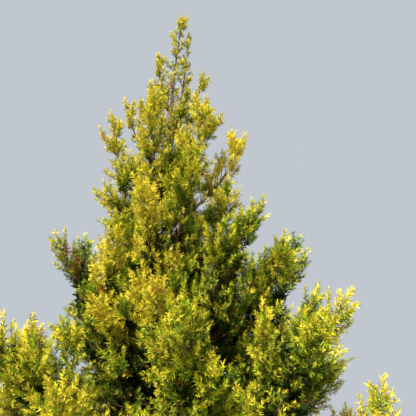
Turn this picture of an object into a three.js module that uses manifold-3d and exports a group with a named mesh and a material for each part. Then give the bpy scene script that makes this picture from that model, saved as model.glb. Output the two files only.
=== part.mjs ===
// A golden lemon cypress: one whole tree, in millimetres, +Z up.
//
// The origin is the middle of the flat cut under the trunk, at ground level. +X is the right of the
// tree as it is looked at, and -Y is its front. A single trunk runs up through the crown. Upswept
// boughs leave it in tiers, and each bough ends where it enters its own plume of foliage.
import * as THREE from "three";
import { mergeVertices } from "three/addons/utils/BufferGeometryUtils.js";
import Module from "manifold-3d";

const wasm = await Module();
wasm.setup();

// Trunk
const TREE_HEIGHT = 4660;
const TRUNK_TOP = 4050; // the leader's last stretch belongs to the plume at the apex
const TRUNK_RADIUS = 58;
const LEADER_RADIUS = 6;
const TAPER_POWER = 0.85;
const LEAN = 205; // how far the trunk bows to the left
const LEAN_TURN = 0.78 * Math.PI;
const SWAY = 35; // and how far it wanders to the front and the back
const SWAY_TURN = 1.7 * Math.PI;
const FLARE = 52; // what the root flare adds to the radius at the ground
const FLARE_HEIGHT = 130;
const FLARE_LOBES = 5;
const LOBE_DEPTH = 0.16;
const TRUNK_SIDES = 15;
const TRUNK_STEPS = 12;
const STEP_POWER = 1.5; // the trunk's steps are closer together near the ground, where the flare is
const TRUNK_LINKS = 16; // links of the chains that stand for the trunk and for a bough
const BOUGH_LINKS = 4;

// Limbs: turn is the compass angle round the trunk in degrees (0 right, 90 back, 180 left,
// 270 front), foot the height on the trunk, reach how far out the plume's tip is from there,
// tip the tip's height, and girth the plume's radius. These carry their plumes on a bare bough.
const BOUGHS = [
  { name: "skirt_right", turn: 5, foot: 320, reach: 1260, tip: 1350, girth: 580 },
  { name: "skirt_back_right", turn: 82, foot: 340, reach: 1160, tip: 1080, girth: 580 },
  { name: "skirt_back_left", turn: 154, foot: 290, reach: 1190, tip: 1120, girth: 580 },
  { name: "skirt_front_left", turn: 226, foot: 330, reach: 1180, tip: 1060, girth: 580 },
  { name: "skirt_front_right", turn: 298, foot: 310, reach: 1190, tip: 1120, girth: 580 },
  { name: "low_right", turn: 352, foot: 880, reach: 865, tip: 2080, girth: 430 },
  { name: "low_back_right", turn: 52, foot: 960, reach: 1060, tip: 2050, girth: 480 },
  { name: "low_back_left", turn: 118, foot: 870, reach: 1080, tip: 2020, girth: 480 },
  { name: "low_left", turn: 186, foot: 960, reach: 1120, tip: 1850, girth: 410 },
  { name: "low_front_left", turn: 229, foot: 860, reach: 1030, tip: 1740, girth: 430 },
  { name: "low_front", turn: 278, foot: 870, reach: 900, tip: 1840, girth: 410 },
  { name: "low_front_right", turn: 315, foot: 980, reach: 1040, tip: 1880, girth: 400 },
  { name: "shoulder_right", turn: 343, foot: 1190, reach: 790, tip: 2385, girth: 330 },
  { name: "middle_right", turn: 4, foot: 1560, reach: 790, tip: 2570, girth: 330 },
  { name: "middle_back_right", turn: 62, foot: 1470, reach: 780, tip: 2580, girth: 370 },
  { name: "middle_back_left", turn: 118, foot: 1570, reach: 780, tip: 2560, girth: 370 },
  { name: "middle_left", turn: 176, foot: 1400, reach: 715, tip: 2480, girth: 370 },
  { name: "middle_front_left", turn: 232, foot: 1550, reach: 570, tip: 2380, girth: 300 },
  { name: "middle_front", turn: 262, foot: 1430, reach: 600, tip: 2660, girth: 330 },
  { name: "middle_front_right", turn: 314, foot: 1500, reach: 655, tip: 2600, girth: 320 },
  { name: "second_leader", turn: 18, foot: 3260, reach: 145, tip: 4500, girth: 130 },
];
// The stems of these stand on the trunk itself
const SHOOTS = [
  { name: "upper_right", turn: 350, foot: 2120, reach: 450, tip: 2990, girth: 260 },
  { name: "upper_back", turn: 74, foot: 2060, reach: 540, tip: 3060, girth: 260 },
  { name: "upper_left", turn: 158, foot: 2000, reach: 405, tip: 2930, girth: 250 },
  { name: "upper_front_left", turn: 218, foot: 2100, reach: 420, tip: 3020, girth: 250 },
  { name: "upper_front", turn: 288, foot: 2060, reach: 480, tip: 3050, girth: 250 },
  { name: "high_right", turn: 354, foot: 2640, reach: 610, tip: 3370, girth: 240 },
  { name: "high_back", turn: 84, foot: 2640, reach: 420, tip: 3540, girth: 220 },
  { name: "high_left", turn: 182, foot: 2560, reach: 485, tip: 3620, girth: 215 },
  { name: "high_front", turn: 252, foot: 2700, reach: 380, tip: 3560, girth: 210 },
  { name: "high_front_right", turn: 314, foot: 2720, reach: 440, tip: 3530, girth: 240 },
  { name: "top_left", turn: 188, foot: 3020, reach: 370, tip: 3715, girth: 145 },
  { name: "top_shoot_left", turn: 175, foot: 3560, reach: 135, tip: 4240, girth: 115 },
  { name: "top_right", turn: 352, foot: 3140, reach: 270, tip: 3990, girth: 150 },
  { name: "crest_front_left", turn: 222, foot: 3130, reach: 290, tip: 3600, girth: 150 },
  { name: "crest_left", turn: 192, foot: 3330, reach: 180, tip: 3900, girth: 110 },
  { name: "crest_right", turn: 318, foot: 3300, reach: 200, tip: 3760, girth: 115 },
];
const APEX_GIRTH = 130;
const BOUGH_SHARE = 0.18; // of a limb's whole run, before it enters its plume
const LEADER_SHARE = 0.32; // the same on the second leader, which is bare for longer
const BOUGH_SLIMNESS = 0.0155; // radius at the foot over the limb's length
const BOUGH_TIP_SHARE = 0.6; // radius where it enters the plume over radius at the foot
const BEND_OUT = 0.62; // the limb's bend lies this share of its reach out
const BEND_UP = 0.2; // and this share of its rise up
const BOUGH_SIDES = 5;
const BOUGH_STEPS = 3;

// Plumes: a stem, twigs round it by the golden angle, and toothed sprays on the twigs
const STEM_TIP_RADIUS = 3.5;
const STEM_STEPS = 3;
const TWIG_SIDES = 3;
const TWIG_REACH = 0.42; // a twig's length over the plume's radius there
const TWIG_RADIUS = 6; // at its foot; it runs out to a point in its last spray
const TWIG_ANGLES = [58, 32]; // away from the stem, on the first twig and on the last
const SPRAY_LENGTH = 1.15; // over the plume's radius
const SPRAY_WIDTH = 0.46; // over the spray's length
const SPRAY_THICKNESS = 0.04;
const SPRAY_SPREAD = 0.16; // how much one spray's length differs from the next
const TIP_SPRAY = 0.7; // the spray at the stem's end, over the plume's radius
const TWIG_TURN = 6; // degrees that a twig's angle may differ from its place's
const SPRAY_TILT = 50; // degrees that a spray may be turned about its own middle line
const SPRAY_SUNK = 14; // how deep its root lies in the twig
const SIDE_LEAN = 38; // a side spray's angle to its twig
const LIFT = 0.4; // how strongly a twig or spray turns up
const GOLDEN_ANGLE = 137.5;
const FITS = [1, 0.85, 0.7, 0.55]; // a twig or spray that meets something is tried again shorter
const DENSE_GIRTH = 160; // thinner plumes are open and have no core
// How many twigs a plume has, from where to where along its stem, and where the side sprays
// stand along each twig
const DENSE = { twigs: 5, span: [0.22, 0.95], sides: [0.7] };
const OPEN = { twigs: 5, span: [0.1, 0.92], sides: [0.5] };
const CORE_SHARE = 0.52; // the core's radius over the plume's
const CORE_SIDES = 6;
const CORE_RINGS = 5;
const CORE_SPAN = [0.02, 0.85];
const CORE_LUMPS = 0.16;
const CORE_DRAWN_IN = 0.92; // each step by which the core draws in where its space ends
const FIRST_SEED = 1000;
const SEED_STEP = 77;
const SAMPLES = 9; // points along a stem that stand for it when spaces are shared out
const SAMPLES_FROM = 0.3;
const GAP = 0.3; // between two pieces that meet
const ROOM = 2; // between neighbouring plumes
const TOUCH_MARGIN = 6;
const GROUND_CLEAR = 45;
const ENTER_STEP = 0.005; // steps, over a shoot's run, in which the trunk's bark is looked for

const UP = new THREE.Vector3(0, 0, 1);
const RIGHT = new THREE.Vector3(1, 0, 0);
const radians = THREE.MathUtils.degToRad;
const lerp = THREE.MathUtils.lerp;

const bark = new THREE.MeshStandardMaterial({ color: "#6d4a35", roughness: 0.92, metalness: 0 });
const young = new THREE.MeshStandardMaterial({ color: "#b9ae2c", roughness: 0.78, metalness: 0 });

// Draws numbers between two values, each time the same ones for a seed
function seeded(seed) {
  let state = seed;
  return (low, high) => {
    state = (state * 1664525 + 1013904223) % 4294967296;
    return lerp(low, high, state / 4294967296);
  };
}

function trunkAt(height) {
  const share = height / TREE_HEIGHT;
  return new THREE.Vector3(
    -LEAN * Math.sin(LEAN_TURN * share),
    SWAY * Math.sin(SWAY_TURN * share),
    height,
  );
}

function trunkRadius(height) {
  const taper = Math.pow(Math.max(0, 1 - height / TRUNK_TOP), TAPER_POWER);
  return LEADER_RADIUS + (TRUNK_RADIUS - LEADER_RADIUS) * taper + FLARE * Math.exp(-height / FLARE_HEIGHT);
}

class TrunkCurve extends THREE.Curve {
  constructor(low, high) {
    super();
    this.low = low;
    this.high = high;
  }
  getPoint(t) {
    return trunkAt(lerp(this.low, this.high, Math.pow(t, STEP_POWER)));
  }
}

const trunkRun = new TrunkCurve(0, TRUNK_TOP);

// A closed tapering tube along a curve, blunt or pointed: a cylinder or cone whose rings are laid
// along it
function limbGeometry(curve, radiusAt, sides, steps, isPointed = false) {
  const geometry = new THREE.CylinderGeometry(isPointed ? 0 : 1, 1, 1, sides, steps);
  const position = geometry.attributes.position;
  const chord = curve.getPoint(1).sub(curve.getPoint(0));
  const across = new THREE.Vector3().crossVectors(chord, UP);
  if (across.length() < 0.2 * chord.length()) across.crossVectors(chord, RIGHT);
  for (let i = 0; i < position.count; i++) {
    const t = 0.5 - position.getY(i);
    const tangent = curve.getTangent(t);
    const side = across.clone().addScaledVector(tangent, -across.dot(tangent)).normalize();
    const other = new THREE.Vector3().crossVectors(tangent, side);
    const angle = Math.atan2(position.getZ(i), position.getX(i));
    const isCentre = Math.hypot(position.getX(i), position.getZ(i)) < 1e-6;
    const radius = isCentre ? 0 : radiusAt(t, angle);
    const point = curve.getPoint(t);
    point.addScaledVector(side, radius * Math.cos(angle));
    point.addScaledVector(other, radius * Math.sin(angle));
    position.setXYZ(i, point.x, point.y, point.z);
  }
  return geometry;
}

function solidFrom(geometry) {
  const bare = geometry.clone();
  bare.deleteAttribute("normal");
  bare.deleteAttribute("uv");
  const merged = mergeVertices(bare, 1e-4);
  const solid = new wasm.Manifold(
    new wasm.Mesh({
      numProp: 3,
      vertProperties: merged.attributes.position.array,
      triVerts: new Uint32Array(merged.index.array),
    }),
  );
  if (solid.volume() > 0) return solid;
  const turned = merged.index.array.slice().reverse();
  return new wasm.Manifold(
    new wasm.Mesh({
      numProp: 3,
      vertProperties: merged.attributes.position.array,
      triVerts: new Uint32Array(turned),
    }),
  );
}

function largestBody(solid) {
  return solid.decompose().reduce((best, body) => (body.volume() > best.volume() ? body : best));
}

function meshFrom(name, solid, material) {
  const { numProp, numVert, vertProperties, triVerts } = solid.getMesh();
  const points = new Float32Array(numVert * 3);
  for (let i = 0; i < numVert; i++) {
    points.set(vertProperties.subarray(i * numProp, i * numProp + 3), i * 3);
  }
  const geometry = new THREE.BufferGeometry();
  geometry.setAttribute("position", new THREE.BufferAttribute(points, 3));
  geometry.setIndex(new THREE.BufferAttribute(triVerts, 1));
  geometry.computeVertexNormals();
  const mesh = new THREE.Mesh(geometry, material);
  mesh.name = name;
  return mesh;
}

// The trunk, or with an allowance the space that nothing else may enter
function trunkSolid(allowance) {
  const radiusAt = (t, angle) => {
    const height = trunkRun.getPoint(t).z;
    const lobe = LOBE_DEPTH * Math.cos(FLARE_LOBES * angle) * Math.exp(-height / FLARE_HEIGHT);
    return trunkRadius(height) * (1 + lobe) + allowance;
  };
  const geometry = limbGeometry(trunkRun, radiusAt, TRUNK_SIDES, TRUNK_STEPS);
  const position = geometry.attributes.position;
  for (let i = 0; i < position.count; i++) {
    // The lowest ring lies flat on the ground, whatever the trunk's lean there
    if (position.getZ(i) < FLARE_HEIGHT * 0.1) position.setZ(i, 0);
  }
  return solidFrom(geometry);
}

// The whole run of a limb, from the trunk's axis to the tip of its plume
function limbCurve({ turn, foot, reach, tip }) {
  const outward = RIGHT.clone().applyAxisAngle(UP, radians(turn));
  const start = trunkAt(foot);
  const rise = tip - foot;
  const bend = start.clone().addScaledVector(outward, reach * BEND_OUT).addScaledVector(UP, rise * BEND_UP);
  const end = start.clone().addScaledVector(outward, reach).setZ(tip);
  return new THREE.QuadraticBezierCurve3(start, bend, end);
}

// The stretch of a curve between two places on it
class Stretch extends THREE.Curve {
  constructor(curve, from, to) {
    super();
    this.curve = curve;
    this.from = from;
    this.to = to;
  }
  getPoint(t) {
    return this.curve.getPoint(lerp(this.from, this.to, t));
  }
}

// One limb's sizes: its curve, where the bough gives way to the plume, and its radii
function planLimb(limb, index, isBough) {
  const curve = limbCurve(limb);
  const length = curve.getLength();
  const footRadius = Math.max(length * BOUGH_SLIMNESS, STEM_TIP_RADIUS * 2);
  const share = limb.name === "second_leader" ? LEADER_SHARE : BOUGH_SHARE;
  let enter = share;
  if (!isBough) {
    // A shoot's stem starts just outside the trunk's bark
    const wall = trunkRadius(limb.foot) + footRadius;
    const toAxis = (point) => point.distanceTo(trunkAt(point.z));
    enter = 0;
    while (toAxis(curve.getPoint(enter)) < wall) enter += ENTER_STEP;
  }
  return { ...limb, index, curve, enter, footRadius, enterRadius: footRadius * BOUGH_TIP_SHARE, isBough };
}

// A limb as a chain of points with radii, for telling what would touch it
function chainOf(curve, radiusAt, links) {
  return Array.from({ length: links + 1 }, (_, i) => {
    const t = i / links;
    return { point: curve.getPoint(t), radius: radiusAt(t) };
  });
}

function touches(chain, point) {
  for (let i = 1; i < chain.length; i++) {
    const [a, b] = [chain[i - 1], chain[i]];
    const run = b.point.clone().sub(a.point);
    const t = THREE.MathUtils.clamp(point.clone().sub(a.point).dot(run) / run.lengthSq(), 0, 1);
    const distance = point.distanceTo(a.point.clone().addScaledVector(run, t));
    if (distance < lerp(a.radius, b.radius, t) + TOUCH_MARGIN) return true;
  }
  return false;
}

const plans = [
  ...BOUGHS.map((limb, i) => planLimb(limb, i, true)),
  ...SHOOTS.map((limb, i) => planLimb(limb, BOUGHS.length + i, false)),
];
const apexRun = new THREE.LineCurve3(trunkAt(TRUNK_TOP), trunkAt(TREE_HEIGHT));
plans.push({
  name: "apex",
  index: plans.length,
  girth: APEX_GIRTH,
  enter: 0,
  enterRadius: LEADER_RADIUS,
  curve: apexRun,
  isBough: false,
});
for (const plan of plans) {
  plan.stem = new Stretch(plan.curve, plan.enter + GAP / plan.curve.getLength(), 1);
  plan.samples = Array.from({ length: SAMPLES }, (_, i) =>
    plan.stem.getPoint(lerp(SAMPLES_FROM, 1, i / (SAMPLES - 1))),
  );
  // The wood stops short of the tip, which its last spray reaches
  plan.inner = new Stretch(plan.stem, 0, 1 - (plan.girth * TIP_SPRAY) / plan.stem.getLength());
}
const boughs = plans.filter((plan) => plan.isBough);
const boughRadius = (plan) => (t) => lerp(plan.footRadius, plan.enterRadius, t);
const limbChains = [
  chainOf(trunkRun, (t) => trunkRadius(trunkRun.getPoint(t).z), TRUNK_LINKS),
  ...boughs.map((plan) => chainOf(new Stretch(plan.curve, 0, plan.enter), boughRadius(plan), BOUGH_LINKS)),
];

// A plume's radius along its stem over its greatest
function plumeProfile(along) {
  return Math.pow(Math.sin(Math.PI * Math.pow(along, 0.8)), 0.6);
}

// The planes that part one plume's space from its neighbours'. Between two stems it is the plane,
// of those that stand across a line from one to the other, that leaves the widest room between
// them. It lies nearer to the thinner plume.
function spaceOf(plume, plumes) {
  return plumes
    .filter((other) => other !== plume)
    .map((other) => {
      let best = { room: -Infinity };
      for (const a of plume.samples) {
        for (const b of other.samples) {
          const normal = b.clone().sub(a).normalize();
          const near = Math.max(...plume.samples.map((point) => point.dot(normal)));
          const far = Math.min(...other.samples.map((point) => point.dot(normal)));
          if (far - near > best.room) best = { room: far - near, normal, near };
        }
      }
      const share = plume.girth / (plume.girth + other.girth);
      return { normal: best.normal, reach: best.near + best.room * share - ROOM };
    });
}

function inside(space, point) {
  return point.z > GROUND_CLEAR && space.every(({ normal, reach }) => point.dot(normal) < reach);
}

// The direction that leaves `along` by `angle` degrees, `roll` degrees round it, and turns up
function leaving(along, angle, roll) {
  const across = new THREE.Vector3().crossVectors(along, Math.abs(along.z) > 0.95 ? RIGHT : UP).normalize();
  across.applyAxisAngle(along, radians(roll));
  const direction = along.clone().applyAxisAngle(across, radians(angle));
  return direction.addScaledVector(UP, LIFT).normalize();
}

// A spray's rim, from its root by a tooth and a notch to the tip and back: how far along the
// middle line, and how far aside, over its length and its width
const RIM = [
  [-0.5, 0],
  [-0.03, 0.5],
  [0.12, 0.19],
  [0.5, 0],
  [0.12, -0.19],
  [-0.03, -0.5],
];

function sprayRim({ root, direction, facing, length }) {
  const normal = facing.clone().addScaledVector(direction, -facing.dot(direction)).normalize();
  const across = new THREE.Vector3().crossVectors(normal, direction);
  const middle = root.clone().addScaledVector(direction, length / 2);
  const points = RIM.map(([along, aside]) =>
    middle
      .clone()
      .addScaledVector(direction, along * length)
      .addScaledVector(across, aside * length * SPRAY_WIDTH),
  );
  return { middle, normal, points };
}

// A spray as a toothed blade: a flattened ball whose rim is drawn out to the points of the rim
function spraySolid(spray) {
  const { middle, normal, points } = sprayRim(spray);
  const geometry = new THREE.SphereGeometry(1, RIM.length, 2);
  const position = geometry.attributes.position;
  for (let i = 0; i < position.count; i++) {
    const [x, y, z] = [position.getX(i), position.getY(i), position.getZ(i)];
    const corner = Math.round((Math.atan2(z, x) / (2 * Math.PI) + 1) * RIM.length) % RIM.length;
    const isRim = Math.hypot(x, z) > 0.5;
    const point = isRim
      ? points[corner]
      : middle.clone().addScaledVector(normal, y * spray.length * SPRAY_THICKNESS);
    position.setXYZ(i, point.x, point.y, point.z);
  }
  return solidFrom(geometry);
}

// The core of a dense plume: a lumpy ball laid along the stem, drawn in where its space ends
function coreSolid(plume, space, draw) {
  const geometry = new THREE.SphereGeometry(1, CORE_SIDES, CORE_RINGS);
  const position = geometry.attributes.position;
  const lumps = Array.from({ length: (CORE_SIDES + 1) * (CORE_RINGS + 1) }, () =>
    draw(1 - CORE_LUMPS, 1 + CORE_LUMPS),
  );
  for (let i = 0; i < position.count; i++) {
    const [x, y, z] = [position.getX(i), position.getY(i), position.getZ(i)];
    const share = Math.acos(THREE.MathUtils.clamp(y, -1, 1)) / Math.PI;
    const along = lerp(CORE_SPAN[1], CORE_SPAN[0], share);
    const angle = Math.atan2(z, x);
    const side = Math.round((angle / (2 * Math.PI) + 1) * CORE_SIDES) % CORE_SIDES;
    const lump = lumps[side + Math.round(share * CORE_RINGS) * CORE_SIDES];
    const tangent = plume.stem.getTangent(along);
    const across = new THREE.Vector3().crossVectors(tangent, UP).normalize();
    const over = new THREE.Vector3().crossVectors(across, tangent);
    const outward = across.multiplyScalar(Math.cos(angle)).addScaledVector(over, Math.sin(angle));
    const isPole = Math.hypot(x, z) < 1e-6;
    let radius = isPole ? 0 : plume.girth * CORE_SHARE * plumeProfile(along) * lump;
    const axis = plume.stem.getPoint(along);
    const skin = (far) => axis.clone().addScaledVector(outward, far);
    while (radius > 1 && !inside(space, skin(radius))) radius *= CORE_DRAWN_IN;
    const point = skin(radius);
    position.setXYZ(i, point.x, point.y, point.z);
  }
  return solidFrom(geometry);
}

// What grows in a plume by the rule: its twigs, and the sprays on them, each kept only where it
// stays in the plume's space and clear of every limb
function growPlume(plume, space, draw) {
  const habit = plume.girth > DENSE_GIRTH ? DENSE : OPEN;
  const isFree = (point) => inside(space, point) && !limbChains.some((chain) => touches(chain, point));
  const twigs = [];
  const sprays = [];
  // A spray that doesn't fit is tried again shorter and closer to its stem
  const addSpray = (foot, way, along, facing, length) => {
    for (const fit of FITS) {
      const direction = way.clone().lerp(along, 1 - fit).normalize();
      const root = foot.clone().addScaledVector(direction, -SPRAY_SUNK);
      const spray = { root, direction, facing, length: length * fit };
      const { middle, points } = sprayRim(spray);
      if ([middle, ...points.slice(1)].every(isFree)) {
        sprays.push(spray);
        return;
      }
    }
  };
  const sprayLength = () =>
    plume.girth * SPRAY_LENGTH * draw(1 - SPRAY_SPREAD, 1 + SPRAY_SPREAD);
  const stemEnd = plume.inner.getPoint(1);
  const toTip = plume.stem.getPoint(1).sub(stemEnd);
  const tipWay = toTip.clone().normalize();
  addSpray(stemEnd, tipWay, tipWay, RIGHT, toTip.length() + SPRAY_SUNK);

  const firstRoll = draw(0, 360);
  for (let k = 0; k < habit.twigs; k++) {
    const place = k / (habit.twigs - 1);
    const along = lerp(habit.span[0], habit.span[1], place);
    const foot = plume.inner.getPoint(along);
    const angle = lerp(TWIG_ANGLES[0], TWIG_ANGLES[1], place) + draw(-TWIG_TURN, TWIG_TURN);
    const tangent = plume.inner.getTangent(along);
    const direction = leaving(tangent, angle, firstRoll + k * GOLDEN_ANGLE);
    const reach = plume.girth * TWIG_REACH * plumeProfile(along);
    const lengths = [sprayLength(), ...habit.sides.map(sprayLength)];
    const tilt = draw(-SPRAY_TILT, SPRAY_TILT);
    const fit = FITS.find((share) =>
      [0.5, 1].every((part) => isFree(foot.clone().addScaledVector(direction, reach * share * part))),
    );
    if (!fit) continue;
    const tip = foot.clone().addScaledVector(direction, reach * fit);
    twigs.push({ foot, tip });
    const outward = tip.clone().sub(plume.stem.getPoint(along)).normalize();
    const facing = (way, turn) => outward.clone().applyAxisAngle(way, radians(turn));
    addSpray(tip, direction, tangent, facing(direction, tilt), lengths[0]);
    // The twig nearest to the trunk has no side spray
    const sides = k > 0 ? habit.sides : [];
    sides.forEach((up, n) => {
      const way = leaving(direction, SIDE_LEAN, 90 + 180 * n + tilt);
      addSpray(foot.clone().lerp(tip, up), way, tangent, facing(way, -tilt), lengths[n + 1]);
    });
  }
  return { twigs, sprays };
}

function plumeSolid(plume, limbSpace) {
  const draw = seeded(FIRST_SEED + plume.index * SEED_STEP);
  const space = spaceOf(plume, plans);
  const stemRadius = (t) => lerp(plume.enterRadius, STEM_TIP_RADIUS, t);
  let whole = solidFrom(limbGeometry(plume.inner, stemRadius, TWIG_SIDES, STEM_STEPS));
  const { twigs, sprays } = growPlume(plume, space, draw);
  if (plume.girth > DENSE_GIRTH) whole = whole.add(coreSolid(plume, space, draw));
  for (const { foot, tip } of twigs) {
    const run = new THREE.LineCurve3(foot, tip);
    whole = whole.add(solidFrom(limbGeometry(run, () => TWIG_RADIUS, TWIG_SIDES, 1, true)));
  }
  for (const spray of sprays) whole = whole.add(spraySolid(spray));
  return largestBody(whole.subtract(limbSpace));
}

function boughSolid(plan, allowance) {
  const radiusAt = (t) => boughRadius(plan)(t) + allowance;
  return solidFrom(limbGeometry(new Stretch(plan.curve, 0, plan.enter), radiusAt, BOUGH_SIDES, BOUGH_STEPS));
}

const tree = new THREE.Group();
tree.add(meshFrom("trunk", trunkSolid(0), bark));
// Everything that a limb takes up, with the gap that its neighbours keep to it
let taken = trunkSolid(GAP);
for (const plan of boughs) {
  tree.add(meshFrom(`bough_${plan.name}`, largestBody(boughSolid(plan, 0).subtract(taken)), bark));
  taken = taken.add(boughSolid(plan, GAP));
}
for (const plan of plans) tree.add(meshFrom(`foliage_${plan.name}`, plumeSolid(plan, taken), young));

export default tree;
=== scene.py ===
"""A golden lemon cypress, dressed over its solids.

Everything is in metres, +Z up, with the origin in the middle of the cut under the trunk. The
trunk and the boughs are modelled over their solids with a bark's relief. Each plume of foliage is
grown again by the rule of its solid, from the same sizes, and carried on to fronds, sprigs and
fine shoots within the same reach.
"""
import sys
import logging
import math
from dataclasses import dataclass, field
from enum import Enum
from typing import Iterable

import bmesh
import bpy
import numpy as np
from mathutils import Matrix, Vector


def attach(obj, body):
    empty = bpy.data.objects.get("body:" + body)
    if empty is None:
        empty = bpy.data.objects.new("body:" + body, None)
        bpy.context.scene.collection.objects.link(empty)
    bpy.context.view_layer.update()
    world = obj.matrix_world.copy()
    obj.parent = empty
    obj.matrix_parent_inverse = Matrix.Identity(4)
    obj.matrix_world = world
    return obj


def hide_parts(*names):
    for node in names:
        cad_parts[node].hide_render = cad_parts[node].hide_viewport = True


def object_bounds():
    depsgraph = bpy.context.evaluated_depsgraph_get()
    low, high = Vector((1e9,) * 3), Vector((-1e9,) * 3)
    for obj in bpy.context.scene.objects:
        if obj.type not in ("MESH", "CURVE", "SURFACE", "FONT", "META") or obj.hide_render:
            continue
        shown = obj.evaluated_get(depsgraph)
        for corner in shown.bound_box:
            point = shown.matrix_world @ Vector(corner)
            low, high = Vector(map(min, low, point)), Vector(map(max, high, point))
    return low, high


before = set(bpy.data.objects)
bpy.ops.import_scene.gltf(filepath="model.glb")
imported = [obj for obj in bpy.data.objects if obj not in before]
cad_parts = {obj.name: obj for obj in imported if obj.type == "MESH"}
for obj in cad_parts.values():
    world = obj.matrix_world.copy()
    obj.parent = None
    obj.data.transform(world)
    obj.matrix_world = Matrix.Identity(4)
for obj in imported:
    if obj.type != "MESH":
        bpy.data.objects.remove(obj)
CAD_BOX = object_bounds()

LOG = logging.getLogger("cypress")

Number = float | np.ndarray
Span = tuple[float, float]
Place = tuple[float, float, float]
Colour = tuple[float, float, float]
Pair = tuple[np.ndarray, np.ndarray]
Shape = tuple[np.ndarray, np.ndarray]

UP = np.array((0.0, 0.0, 1.0))
RIGHT = np.array((1.0, 0.0, 0.0))
FULL_TURN = 360.0
GOLDEN_ANGLE = 137.5

# The gap where a stem meets its wood, the room between two plumes, and how clear foliage keeps of
# the limbs and of the ground
GAP = 0.0003
ROOM = 0.002
TOUCH_MARGIN = 0.006
GROUND_CLEAR = 0.045
# The points that stand for the outer part of a stem, and those that mark the whole of it
SAMPLES = 9
SAMPLES_FROM = 0.3
STEM_MARKS = 15
# How much of a bough and of the second leader is bare, and how thick limbs are
BOUGH_SHARE = 0.18
LEADER_SHARE = 0.32
BOUGH_SLIMNESS = 0.0155
BOUGH_TIP_SHARE = 0.6
STEM_TIP_RADIUS = 0.0035
# How far out and how far up the bend of a limb lies
BEND_OUT = 0.62
BEND_UP = 0.2
# The step by which the start of a shoot is sought outside the bark
ENTER_STEP = 0.005
# The girth of the plume at the apex, and the part of its girth that a plume's last spray takes
APEX_GIRTH = 0.13
TIP_SPRAY = 0.7
# A plume's profile: how far its widest place lies back, and how blunt it is
PROFILE_SKEW = 0.8
PROFILE_BLUNTNESS = 0.6
# The shares of its length at which a twig or a spray is tried
FITS = (1.0, 0.85, 0.7, 0.55)
# The seed of the first plume, and the step from one plume's to the next in the solids' rule
FIRST_SEED = 1000
SEED_STEP = 77
# The links of the chains that stand for the trunk and for a bough, and how much closer the
# trunk's are set at its foot
TRUNK_LINKS = 16
BOUGH_LINKS = 4
STEP_POWER = 1.5
# How steep a direction is where what lies across it is measured from the X axis
STEEP = 0.95
# The points by which the length of a curve is measured
LENGTH_POINTS = 201
# How close two points of a piece lie that are merged into one
MERGE_DISTANCE = 0.00005


def unit(vector: np.ndarray) -> np.ndarray:
    """Return the vector, or each of a row of vectors, at length one."""
    return vector / np.linalg.norm(vector, axis=-1, keepdims=True)


def blend(low: Number, high: Number, share: Number) -> Number:
    """Return the value that lies the given share of the way from low to high."""
    return low + (high - low) * share


def sideways(way: np.ndarray, steep: float = STEEP) -> np.ndarray:
    """Return a direction square to another one, of length one."""
    return unit(np.cross(way, RIGHT if abs(way[2]) > steep else UP))


def turned(vector: np.ndarray, axis: np.ndarray, degrees: float) -> np.ndarray:
    """Turn a vector about an axis.

    Args:
        vector: The vector to turn.
        axis: The axis, of length one.
        degrees: The angle, counter-clockwise seen from the axis's end.

    Returns:
        The turned vector.
    """
    angle = math.radians(degrees)
    around = np.cross(axis, vector) * math.sin(angle)
    along = axis * np.dot(axis, vector) * (1 - math.cos(angle))
    return vector * math.cos(angle) + around + along


def leaving(along: np.ndarray, angle: float, roll: float, lift: float = 0.4) -> np.ndarray:
    """Work out the direction that leaves another one and turns up.

    Args:
        along: The direction that it leaves, of length one.
        angle: Degrees between the two.
        roll: Degrees round the first direction.
        lift: How strongly it turns up.

    Returns:
        The new direction, of length one.
    """
    across = turned(sideways(along), along, roll)
    return unit(turned(along, across, angle) + UP * lift)


def plume_profile(along: float) -> float:
    """Return a plume's radius along its stem over its greatest."""
    return math.sin(math.pi * min(max(along, 0.0), 1.0) ** PROFILE_SKEW) ** PROFILE_BLUNTNESS


class Tier(Enum):
    """The tiers of the crown, from the ground up, each with its limbs' first names."""

    SKIRT = ("skirt",)
    LOW = ("low", "shoulder")
    MIDDLE = ("middle",)
    UPPER = ("upper",)
    TOP = ("high", "top", "crest", "second", "apex")

    @classmethod
    def of(cls, name: str) -> "Tier":
        """Return the tier that a limb belongs to by its name."""
        return next(tier for tier in cls if name.split("_")[0] in tier.value)

    @property
    def label(self) -> str:
        """Return the tier's name as pieces carry it."""
        return self.name.lower()


class Tone(Enum):
    """The colours of the shoots, from the sunlit tips to the shade inside; the shade tone is
    painted shade.
    """

    GOLD = "gold"
    LEMON = "lemon"
    LIME = "lime"
    GREEN = "green"
    DEEP = "deep"
    SHADE = "shade"
    BRONZE = "bronze"


@dataclass(frozen=True)
class Run:
    """A curve from its start to its end, drawn towards its bend."""

    start: np.ndarray
    bend: np.ndarray
    end: np.ndarray

    def point(self, t: float) -> np.ndarray:
        """Return the point at a place from 0 to 1."""
        return (1 - t) ** 2 * self.start + 2 * t * (1 - t) * self.bend + t * t * self.end

    def points(self, places: Iterable[float]) -> np.ndarray:
        """Return the points at several places, one in each row."""
        return np.array([self.point(t) for t in places])

    def tangent(self, t: float) -> np.ndarray:
        """Return the direction at a place from 0 to 1."""
        return unit((1 - t) * (self.bend - self.start) + t * (self.end - self.bend))

    def part(self, low: float, high: float) -> "Run":
        """Cut out a stretch of the curve.

        Args:
            low: The place where the stretch starts.
            high: The place where it ends.

        Returns:
            The stretch, as a curve of its own.
        """
        mixed = low * (1 - high) + high * (1 - low)
        bend = (1 - low) * (1 - high) * self.start + mixed * self.bend + low * high * self.end
        return Run(self.point(low), bend, self.point(high))

    def length(self) -> float:
        """Return the curve's length."""
        points = self.points(np.linspace(0, 1, LENGTH_POINTS))
        return float(np.linalg.norm(np.diff(points, axis=0), axis=1).sum())


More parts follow.
